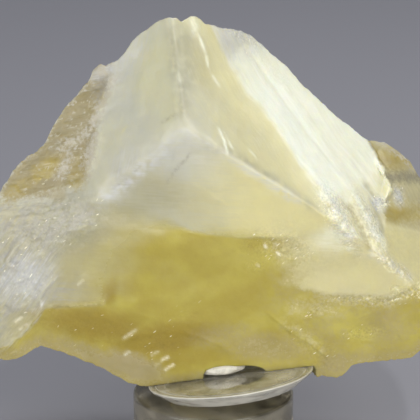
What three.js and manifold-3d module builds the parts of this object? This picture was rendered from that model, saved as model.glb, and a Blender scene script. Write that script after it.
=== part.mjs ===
// An angel wing calcite specimen resting on its clear two-part stand. Millimetres, +Z up.
// The origin is the centre of the stand's underside, and the specimen's front looks along -Y.
import * as THREE from "three";
import { ParametricGeometry } from "three/addons/geometries/ParametricGeometry.js";
import { mergeVertices } from "three/addons/utils/BufferGeometryUtils.js";
import Module from "manifold-3d";

// ---- driving dimensions -------------------------------------------------------------------

// The stand: an upright clear cylinder, and a thin clear dish that sits on it at a slant.
const RISER_RADIUS = 19.2;
const RISER_HEIGHT = 15;
const RISER_BEVEL = 0.6;
const NECK_RADIUS = 5.5;
const NECK_X = 1.8;
const DISH_RADIUS = 19.7;
const DISH_FOOT_RADIUS = 16;
const DISH_THICKNESS = 3.2;
const DISH_BEVEL = 0.4;
const DISH_CENTRE = [4.1, -3, 19.8];
const ROUND_SEGMENTS = 72;

// The dish's right side is up by the one angle and its front by the other.
const DISH_SIDE_DEG = 7;
const DISH_FRONT_DEG = 7.5;

// The putty pad that steadies the specimen, and the hollow above it in the specimen's underside.
// Both places are measured from the middle of the dish's top.
const TACK_RADII = [5.6, 4.4, 1.4];
const TACK_PLACE = [-1.7, 2];
const HOLLOW_RADII = [8, 6.5, 3];
const HOLLOW_PLACE = [1.6, 3];

// Pieces that touch keep this gap.
const GAP = 0.3;

// The specimen. Its own frame has x across, u up its front and h out of its front. The front
// leans back on the stand by LEAN_DEG, and the frame's origin is at STONE_ORIGIN.
const LEAN_DEG = 16.5;
const STONE_ORIGIN = [-0.8, -1.4, 60.4];
const STONE_LEFT = -55.5;
const STONE_RIGHT = 55.3;
const BACK_SQUARENESS = 3;
const END_SQUARENESS = 3.5;
const COLUMNS = 52;
const RING = 48;
const END_CROWDING = 0.4;

// The upper and lower outlines of the specimen, as [x, u] corners from left to right.
const CREST = [
  [-55.5, -16.5], [-55.1, -10], [-53.6, -4], [-49.5, 3.6], [-46.1, 8.9], [-40, 13.9], [-36.7, 19],
  [-30.6, 27.1], [-27.1, 32.4], [-21.2, 34.6], [-16.8, 40], [-11.4, 43.4], [-7.7, 43.9],
  [-6.6, 42.9], [-4.4, 44.5], [-1.1, 42.7], [7, 41.8], [12.2, 38.6], [21.2, 30.1], [29.8, 22.3],
  [37.7, 16.7], [42.1, 16.4], [46.4, 13.5], [50.8, 7.7], [54, 0.5], [55.1, -6], [55.3, -13.5],
];
const FOOT = [
  [-55.5, -16.5], [-54.9, -24], [-53.4, -31], [-50, -35.2], [-45.2, -35], [-39.9, -31.9],
  [-33.3, -34], [-25.1, -37.5], [-19.2, -41], [-14.4, -42], [4, -40.5], [24.5, -40], [30.1, -39.9],
  [33.6, -36.9], [40.7, -35.8], [48.4, -34.5], [52.6, -29.5], [54.6, -22], [55.3, -13.5],
];

// The corner where the three cleavage faces of the front meet, as x, u, h, and the faces'
// slopes along x and along u.
const CORNER = [-5.8, 18.6, 20];
const LEFT_FACE = [0.73, -0.27];
const RIGHT_FACE = [-0.64, -0.42];
const LOWER_FACE = [-0.03, 0.59];

// The satin wing falls away from the right face beyond a slanting ridge line.
const WING_POINT = [3.6, 38.5];
const WING_ACROSS = [0.855, 0.518];
const WING_FALL = 0.3;

// The frosted flank carries on past the left face, at a gentler slope, from this point.
const FLANK_POINT = [-27, 19.6, 4.5];
const FLANK_SLOPE = [0.3, -0.12];

// The left shoulder turns the lower front away to the left.
const SHOULDER_POINT = [-26, -8, 7.6];
const SHOULDER_SLOPE = [0.33, 0.25];

// The milky plate on the lower face ends at a ledge, with the honey-coloured front set back.
const LEDGE = [[-30, -1], [-10.3, -2.8], [-4.8, -4.6], [0.3, -5.8], [7, -6.5], [60, -6.5]];
const LEDGE_WIDTH = 2;
const LEDGE_DROP = 1.6;
const HONEY_SLOPE = 0.43;

// The pale plate at the lower right stands out of the honey front, inside these corners.
const PALE_PLATE_LEFT = [[-60, 17], [-18.6, 19.5], [-13, 16.4], [-6.5, 23], [10, 30]];
const PALE_PLATE_FOOT = [[16, -17], [22, -18.6], [28, -19.9], [42.5, -20.5], [49, -17.2]];
const PALE_PLATE_RISE = 2;
const PALE_PLATE_BEVEL = 2.5;

// The rounded honey-brown nodule at the right edge.
const NODULE_CENTRE = [46, 8];
const NODULE_RADII = [8, 9];
const NODULE_RISE = 4;

// The cleavage faces of the back, each as a point and slopes: upright, upper left, upper right,
// and the underside that rises behind the foot. The back is never nearer the rim than BACK_LEAST.
const BACK_FACES = [
  { point: [0, 0, -30], slope: [0.06, 0.35] },
  { point: [-7, 44, 1], slope: [-0.64, 1] },
  { point: [-7, 44, 1], slope: [0.06, 1] },
  { point: [0, -42, -22], slope: [0, -0.9] },
];
const BACK_LEAST = 5;

// ---- helpers ------------------------------------------------------------------------------

const wasm = await Module();
wasm.setup();

const radians = THREE.MathUtils.degToRad;

/** The height of a line through [x, y] corners, listed by rising x. */
function along(corners, x) {
  const next = corners.findIndex(([cornerX]) => cornerX > x);
  if (next === 0) return corners[0][1];
  if (next < 0) return corners.at(-1)[1];
  const [x0, y0] = corners[next - 1];
  const [x1, y1] = corners[next];
  return THREE.MathUtils.mapLinear(x, x0, x1, y0, y1);
}

/** The height at (x, u) of a plane through a point [x, u, h] with slopes [along x, along u]. */
function plane([x0, u0, h0], [slopeX, slopeU], x, u) {
  return h0 + slopeX * (x - x0) + slopeU * (u - u0);
}

/** 0 well below zero, 1 well above, with a smooth rise of the given width centred on zero. */
function rise(distance, width) {
  return THREE.MathUtils.smoothstep(distance, -width / 2, width / 2);
}

/** 1 in the middle of -1..1 and 0 at its ends, squarer as the power rises. */
function squareArch(position, power) {
  const inside = 1 - Math.abs(THREE.MathUtils.clamp(position, -1, 1)) ** power;
  return inside ** (1 / power);
}

/** A geometry as a manifold-3d solid, with shared corners merged and empty triangles left out. */
function solidOf(geometry) {
  const bare = geometry.clone();
  bare.deleteAttribute("normal");
  bare.deleteAttribute("uv");
  const merged = mergeVertices(bare, 1e-4);
  const corners = merged.index.array;
  const kept = [];
  for (let i = 0; i < corners.length; i += 3) {
    const [a, b, c] = corners.slice(i, i + 3);
    if (a !== b && b !== c && c !== a) kept.push(a, b, c);
  }
  const vertProperties = merged.getAttribute("position").array;
  return new wasm.Manifold(new wasm.Mesh({ numProp: 3, vertProperties, triVerts: new Uint32Array(kept) }));
}

/** A manifold-3d solid as a three.js geometry. */
function geometryOf(solid) {
  const mesh = solid.getMesh();
  const geometry = new THREE.BufferGeometry();
  geometry.setAttribute("position", new THREE.BufferAttribute(mesh.vertProperties, 3));
  geometry.setIndex(new THREE.BufferAttribute(mesh.triVerts, 1));
  geometry.computeVertexNormals();
  return geometry;
}

/** A solid turned about an upright axis, from a [radius, z] profile listed upwards. */
function turned(profile) {
  const points = profile.map(([radius, z]) => new THREE.Vector2(radius, z));
  return new THREE.LatheGeometry(points, ROUND_SEGMENTS).rotateX(Math.PI / 2);
}

/** Moves a geometry made flat on the dish's top, centred on its axis, to where the dish lies. */
function onDish(geometry) {
  return geometry
    .rotateY(-radians(DISH_SIDE_DEG))
    .rotateX(-radians(DISH_FRONT_DEG))
    .translate(...DISH_CENTRE);
}

/** A named mesh with a material of its own. */
function piece(name, geometry, color, roughness, look = {}) {
  const material = new THREE.MeshStandardMaterial({ color, roughness, metalness: 0, ...look });
  material.name = name;
  const mesh = new THREE.Mesh(geometry, material);
  mesh.name = name;
  return mesh;
}

// ---- the specimen -------------------------------------------------------------------------

/** The front of the specimen: the h of its surface at (x, u). */
function front(x, u) {
  const leftFace = plane(CORNER, LEFT_FACE, x, u);
  const flank = plane(FLANK_POINT, FLANK_SLOPE, x, u);
  const rightFace = plane(CORNER, RIGHT_FACE, x, u);
  const pastRidge = (x - WING_POINT[0]) * WING_ACROSS[0] + (u - WING_POINT[1]) * WING_ACROSS[1];
  const wing = rightFace - WING_FALL * Math.max(pastRidge, 0);
  const upper = Math.min(Math.max(leftFace, flank), wing);

  const ledge = along(LEDGE, x);
  const milky = plane(CORNER, LOWER_FACE, x, u);
  const honey = plane(CORNER, LOWER_FACE, x, ledge) + HONEY_SLOPE * (u - ledge) - LEDGE_DROP;
  const aboveLedge = rise(u - ledge, LEDGE_WIDTH);
  const shoulder = plane(SHOULDER_POINT, SHOULDER_SLOPE, x, u);
  const lower = Math.min(THREE.MathUtils.lerp(honey, milky, aboveLedge), shoulder);

  const insidePlate =
    rise(x - along(PALE_PLATE_LEFT, u), PALE_PLATE_BEVEL) *
    rise(u - along(PALE_PLATE_FOOT, x), PALE_PLATE_BEVEL);
  const fromNodule = Math.hypot(
    (x - NODULE_CENTRE[0]) / NODULE_RADII[0],
    (u - NODULE_CENTRE[1]) / NODULE_RADII[1],
  );
  const nodule = NODULE_RISE * Math.max(0, 1 - fromNodule ** 2);
  return Math.min(upper + nodule, lower + PALE_PLATE_RISE * insidePlate);
}

/** The back, a share climb of the way from foot to crest: flat faces, rounded over at the rim. */
function back(x, foot, crest, climb) {
  const u = THREE.MathUtils.lerp(foot, crest, climb);
  const rim = THREE.MathUtils.lerp(front(x, foot), front(x, crest), climb);
  const face = Math.max(...BACK_FACES.map(({ point, slope }) => plane(point, slope, x, u)));
  const acrossStone = THREE.MathUtils.mapLinear(x, STONE_LEFT, STONE_RIGHT, -1, 1);
  const rounding = squareArch(2 * climb - 1, BACK_SQUARENESS) * squareArch(acrossStone, END_SQUARENESS);
  return rim - Math.max(rim - face, BACK_LEAST) * rounding;
}

/**
 * A point of the specimen's skin. Columns run from its left end to its right end, and each is a
 * ring that climbs the front from the foot to the crest and comes down the back.
 */
function stoneSkin(column, around, target) {
  const crowded = (1 - Math.cos(Math.PI * column)) / 2;
  const across = THREE.MathUtils.lerp(column, crowded, END_CROWDING);
  const x = THREE.MathUtils.lerp(STONE_LEFT, STONE_RIGHT, across);
  const foot = along(FOOT, x);
  const crest = along(CREST, x);
  const inFront = around <= 0.5;
  const climb = inFront ? 2 * around : (1 + Math.cos(Math.PI * (2 * around - 1))) / 2;
  const u = THREE.MathUtils.lerp(foot, crest, climb);
  const h = inFront ? front(x, u) : back(x, foot, crest, climb);
  target.set(x, u, h);
}

/** The specimen's solid, seated flat on the dish and hollowed a little over the putty. */
function stoneSolid() {
  const skin = new ParametricGeometry(stoneSkin, COLUMNS, RING)
    .rotateX(Math.PI / 2 - radians(LEAN_DEG))
    .translate(...STONE_ORIGIN);
  const seatDepth = 12;
  const seat = turned([
    [0, -seatDepth],
    [DISH_RADIUS + 2 * GAP, -seatDepth],
    [DISH_RADIUS + 2 * GAP, GAP],
    [0, GAP],
  ]);
  return solidOf(skin)
    .subtract(solidOf(onDish(seat)))
    .subtract(solidOf(onDish(flatBall(HOLLOW_RADII, HOLLOW_PLACE, 0))))
    .subtract(solidOf(tackShape(GAP)));
}

// ---- the putty and the stand --------------------------------------------------------------

/** A flattened ball of three radii, its centre at a place on the dish's top and lifted off it. */
function flatBall(radii, place, lift) {
  return new THREE.SphereGeometry(1, 24, 12).scale(...radii).translate(...place, lift);
}

/** The putty pad: a flattened ball just clear of the dish, grown by a margin. */
function tackShape(margin) {
  const radii = TACK_RADII.map((radius) => radius + margin);
  return onDish(flatBall(radii, TACK_PLACE, TACK_RADII[2] + GAP));
}

/** The thin dish, its side flaring towards the top and its edges eased. */
function dishShape() {
  const underside = -DISH_THICKNESS;
  return onDish(
    turned([
      [0, underside],
      [DISH_FOOT_RADIUS - DISH_BEVEL, underside],
      [DISH_FOOT_RADIUS, underside + DISH_BEVEL],
      [DISH_RADIUS, -DISH_BEVEL],
      [DISH_RADIUS - DISH_BEVEL, 0],
      [0, 0],
    ]),
  );
}

/** The upright cylinder with the short neck that carries the dish, both cut clear of the dish. */
function riserSolid() {
  const column = turned([
    [0, 0],
    [RISER_RADIUS - RISER_BEVEL, 0],
    [RISER_RADIUS, RISER_BEVEL],
    [RISER_RADIUS, RISER_HEIGHT - RISER_BEVEL],
    [RISER_RADIUS - RISER_BEVEL, RISER_HEIGHT],
    [0, RISER_HEIGHT],
  ]);
  const neck = turned([
    [0, RISER_HEIGHT / 2],
    [NECK_RADIUS, RISER_HEIGHT / 2],
    [NECK_RADIUS, DISH_CENTRE[2]],
    [0, DISH_CENTRE[2]],
  ]).translate(NECK_X, 0, 0);
  const underDish = -DISH_THICKNESS - GAP;
  const dishRoom = turned([
    [0, underDish],
    [DISH_FOOT_RADIUS + GAP, underDish],
    [DISH_RADIUS + GAP, GAP],
    [DISH_RADIUS + GAP, DISH_CENTRE[2]],
    [0, DISH_CENTRE[2]],
  ]);
  return solidOf(column).add(solidOf(neck)).subtract(solidOf(onDish(dishRoom)));
}

// ---- the specimen on its stand ------------------------------------------------------------

const specimen = new THREE.Group();
specimen.add(
  piece("calcite", geometryOf(stoneSolid()), 0xcfc79a, 0.45),
  piece("mineral_tack", tackShape(0), 0xd6d4cc, 0.85),
  piece("stand_dish", dishShape(), 0xd9dcdc, 0.05, { transparent: true, opacity: 0.35 }),
  piece("stand_riser", geometryOf(riserSolid()), 0xd9dcdc, 0.05, { transparent: true, opacity: 0.35 }),
);

export default specimen;
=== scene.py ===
"""An angel wing calcite specimen on its clear two-part display stand.

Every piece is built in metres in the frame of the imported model: the origin is the centre of the
stand's underside, +Z is up and the specimen's front looks along -Y. The specimen has a frame of its
own, in millimetres: x across, u up its front and h out of its front, leaning back on the stand.
"""

import logging
import math
from collections.abc import Callable
from dataclasses import dataclass, field
from enum import Enum

import bpy
import numpy as np
from mathutils import Matrix, Vector


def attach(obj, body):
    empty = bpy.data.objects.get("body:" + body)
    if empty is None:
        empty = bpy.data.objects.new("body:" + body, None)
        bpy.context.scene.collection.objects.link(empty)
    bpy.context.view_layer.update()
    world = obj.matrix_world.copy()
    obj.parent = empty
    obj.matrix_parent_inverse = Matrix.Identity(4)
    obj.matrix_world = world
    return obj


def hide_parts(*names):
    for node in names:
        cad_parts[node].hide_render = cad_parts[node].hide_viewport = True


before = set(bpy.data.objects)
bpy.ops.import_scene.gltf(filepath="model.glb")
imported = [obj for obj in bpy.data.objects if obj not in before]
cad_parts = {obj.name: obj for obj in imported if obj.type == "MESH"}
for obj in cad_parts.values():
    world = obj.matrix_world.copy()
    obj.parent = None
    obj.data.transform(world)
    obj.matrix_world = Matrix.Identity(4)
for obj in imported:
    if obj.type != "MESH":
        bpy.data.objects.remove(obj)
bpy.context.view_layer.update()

LOG = logging.getLogger("specimen")
BODY = "root"
MM = 0.001


class Zone(Enum):
    """The kinds of calcite in the specimen; each value is the name of its point attribute. One grey zone is
    partly painted shade along lit edges, and the glint zone is painted highlight.
    """

    CREAM = "cream"
    BRIGHT = "bright"
    BUTTER = "butter"
    HEART = "heart"
    TAN = "tan"
    GREY_AND_SHADE = "grey_and_shade"
    CHALK = "chalk"
    HONEY = "honey"
    LEMON = "lemon"
    AMBER = "amber"
    VEIL = "veil"
    FLANK = "flank"
    GOLD = "gold"
    SHELL = "shell"
    SATIN = "satin"
    FROST = "frost"
    CRUST = "crust"
    GLINT = "glint"
    SMOKE = "smoke"


Array = np.ndarray
Place = tuple[float, float]
Size = tuple[float, float, float]
Line = tuple[Place, ...]
Shares = dict[Zone, Array]
Tree = bpy.types.NodeTree
Piece = bpy.types.Object
Sockets = dict[str | int, object]


# ---- numbers and noise ---------------------------------------------------------------------


def along(line: Line, at: Array) -> Array:
    """Height of a line through (place, height) corners, level beyond both ends."""
    corners = np.array(line)
    return np.interp(at, corners[:, 0], corners[:, 1])


def rise(distance: Array, width: float) -> Array:
    """Smooth step: 3t^2 - 2t^3 over a width centred on zero, 0 below it and 1 above."""
    share = np.clip(distance / width + 0.5, 0, 1)
    return share * share * (3 - 2 * share)


def bell(distance: Array, width: float) -> Array:
    """Bell curve: exp(-(distance / width)^2)."""
    return np.exp(-((distance / width) ** 2))


def mix(low: Array, high: Array, share: Array) -> Array:
    """Straight mix of two values: low + (high - low) * share."""
    return low + (high - low) * share


def lesser(one: Array, other: Array, width: float) -> Array:
    """Smooth minimum: the lower of two, less width * s * (1 - s) where they cross."""
    share = np.clip(0.5 + (other - one) / (2 * width), 0, 1)
    return mix(other, one, share) - width * share * (1 - share)


def lattice(column: Array, row: Array, seed: int) -> Array:
    """Scrambles whole-number lattice places into even random values from 0 to 1.

    Args:
        column: Whole-number columns.
        row: Whole-number rows.
        seed: Picks one of many independent sets of values.

    Returns:
        One value for each place, the same every run.
    """
    mixed = column.astype(np.int64) * 374761393 + row.astype(np.int64) * 668265263 + seed * 974634777
    mixed = (mixed ^ (mixed >> 13)) & 0xFFFFFFFF
    mixed = (mixed * 1274126177) & 0xFFFFFFFF
    return ((mixed ^ (mixed >> 16)) & 0xFFFFFF) / float(0x1000000)


def noise(a: Array, b: Array, seed: int) -> Array:
    """Gradient noise: random slopes at whole-number places, blended by 6t^5 - 15t^4 + 10t^3.

    Args:
        a: First coordinate, in cells.
        b: Second coordinate, in cells.
        seed: Picks the pattern.

    Returns:
        Values from about -1 to 1.
    """
    column, row = np.floor(a), np.floor(b)
    in_a, in_b = a - column, b - row
    fade_a = in_a**3 * (in_a * (in_a * 6 - 15) + 10)
    fade_b = in_b**3 * (in_b * (in_b * 6 - 15) + 10)

    def corner(right: int, up: int) -> Array:
        """The slope at one corner of the cell, followed to the place."""
        turn = lattice(column + right, row + up, seed) * 2 * math.pi
        return np.cos(turn) * (in_a - right) + np.sin(turn) * (in_b - up)

    low = mix(corner(0, 0), corner(1, 0), fade_a)
    high = mix(corner(0, 1), corner(1, 1), fade_a)
    return 1.5 * mix(low, high, fade_b)


def rough(a: Array, b: Array, seed: int, octaves: int = 4, gain: float = 0.5) -> Array:
    """Sum of noises, each twice as fine as the last and gain times as strong.

    Args:
        a: First coordinate, in cells of the coarsest noise.
        b: Second coordinate, in cells of the coarsest noise.
        seed: Picks the pattern.
        octaves: How many noises are summed.
        gain: Strength of each noise next to the last.

    Returns:
        Values from about -1 to 1.
    """
    total = np.zeros(np.broadcast(a, b).shape)
    for octave in range(octaves):
        total = total + gain**octave * noise(a * 2**octave, b * 2**octave, seed + octave)
    return total


def facets(a: Array, b: Array, seed: int, step: float = 0.5) -> Array:
    """Broken cleavage: each cell around a scattered point is a small plane with its own tilt.

    The value is tilt . (place - point) + level, for the nearest scattered point.

    Args:
        a: First coordinate, in cells.
        b: Second coordinate, in cells.
        seed: Picks the pattern.
        step: Strength of the levels next to the tilts.

    Returns:
        Values from about -1 to 1, with a jump at each cell's edge.
    """
    column, row = np.floor(a), np.floor(b)
    nearest = np.full(np.shape(a), np.inf)
    value = np.zeros(np.shape(a))
    for right in (-1, 0, 1):
        for up in (-1, 0, 1):
            place = (column + right, row + up)
            off_a = a - place[0] - lattice(*place, seed)
            off_b = b - place[1] - lattice(*place, seed + 1)
            distance = off_a**2 + off_b**2
            tilt_a = 2 * lattice(*place, seed + 2) - 1
            tilt_b = 2 * lattice(*place, seed + 3) - 1
            level = step * (2 * lattice(*place, seed + 4) - 1)
            closer = distance < nearest
            nearest = np.where(closer, distance, nearest)
            value = np.where(closer, tilt_a * off_a + tilt_b * off_b + level, value)
    return value


def blades(across: Array, length: Array, spacing: float, seed: int) -> Array:
    """Overlapping blades: a saw-tooth across them, its teeth wandering and changing width.

    Args:
        across: Distance square to the blades.
        length: Distance along them.
        spacing: Mean distance from one blade to the next.
        seed: Picks the pattern.

    Returns:
        Values from 0 at one edge of a blade to 1 at its other edge.
    """
    wander = 0.9 * noise(across / (spacing * 2.5), length / (spacing * 11), seed)
    count = across / spacing + wander
    return count - np.floor(count)


# ---- marks on the specimen -------------------------------------------------------------------


@dataclass(frozen=True)
class Stroke:
    """A line in the stone: a raised or sunk edge, a step down on its right, and a colour zone."""

    line: Line
    width: float
    height: float = 0.0
    step: float = 0.0
    zone: Zone | None = None
    share: float = 1.0
    zone_width: float = 0.0

    def distance(self, x: Array, u: Array) -> tuple[Array, Array]:
        """Signed distance to the line, and how strong it is there.

        Args:
            x: Places across.
            u: Places up the front.

        Returns:
            Distance, positive on the right of the line's direction, and a strength that fades
            from 1 to 0 over the first and last sixth of the line.
        """
        nearest = np.full(x.shape, np.inf)
        side, reach = np.zeros(x.shape), np.zeros(x.shape)
        corners = np.array(self.line)
        spans = np.hypot(*np.diff(corners, axis=0).T)
        done = 0.0
        for start, end, span in zip(corners, corners[1:], spans):
            way = (end - start) / span
            off_x, off_u = x - start[0], u - start[1]
            run = np.clip(off_x * way[0] + off_u * way[1], 0, span)
            away = np.hypot(off_x - run * way[0], off_u - run * way[1])
            closer = away < nearest
            nearest = np.where(closer, away, nearest)
            side = np.where(closer, np.where(off_x * way[1] - off_u * way[0] > 0, 1.0, -1.0), side)
            reach = np.where(closer, done + run, reach)
            done += span
        share = reach / done
        return nearest * side, np.clip(6 * np.minimum(share, 1 - share), 0, 1)

    def relief(self, distance: Array, strength: Array) -> Array:
        """Height the stroke adds: a bell on the line and a fading step down on its right.

        Args:
            distance: Signed distance to the line.
            strength: How strong the stroke is there.

        Returns:
            The height in millimetres.
        """
        edge = self.height * bell(distance, self.width)
        step = -self.step * rise(distance, 0.5) * np.exp(-np.abs(distance) / (8 * self.width))
        return (edge + step) * strength

    def tint(self, distance: Array, strength: Array) -> Array:
        """Share of the stroke's colour zone."""
        return self.share * bell(distance, self.zone_width or self.width) * strength


@dataclass(frozen=True)
class Oval:
    """A soft oval on the front, of one colour zone or of crumbled stone."""

    x: float
    u: float
    half_width: float
    half_height: float
    share: float = 1.0
    turn_deg: float = 0.0
    edge: float = 0.8

    def tint(self, x: Array, u: Array) -> Array:
        """The oval's share: all of it in the middle, falling to 0 past its edge.

        Args:
            x: Places across.
            u: Places up the front.

        Returns:
            Values from 0 to the oval's share.
        """
        turn = math.radians(self.turn_deg)
        off_x, off_u = x - self.x, u - self.u
        long_way = (off_x * math.cos(turn) + off_u * math.sin(turn)) / self.half_width
        short_way = (off_u * math.cos(turn) - off_x * math.sin(turn)) / self.half_height
        return self.share * rise(1 - np.hypot(long_way, short_way), self.edge)


def strokes(*rows: tuple) -> tuple[Stroke, ...]:
    """Makes one stroke of each row of its values."""
    return tuple(Stroke(*row) for row in rows)


def ovals(*rows: tuple[float, ...]) -> tuple[Oval, ...]:
    """Makes one oval of each row of its numbers."""
    return tuple(Oval(*row) for row in rows)


@dataclass(frozen=True)
class Face:
    """A flat cleavage face: h = height + slope_x (x - place_x) + slope_u (u - place_u)."""

    place: Place
    height: float
    slope: Place

    def at(self, x: Array, u: Array) -> Array:
        """Height of the face at (x, u)."""
        across = self.slope[0] * (x - self.place[0])
        return self.height + across + self.slope[1] * (u - self.place[1])


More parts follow.
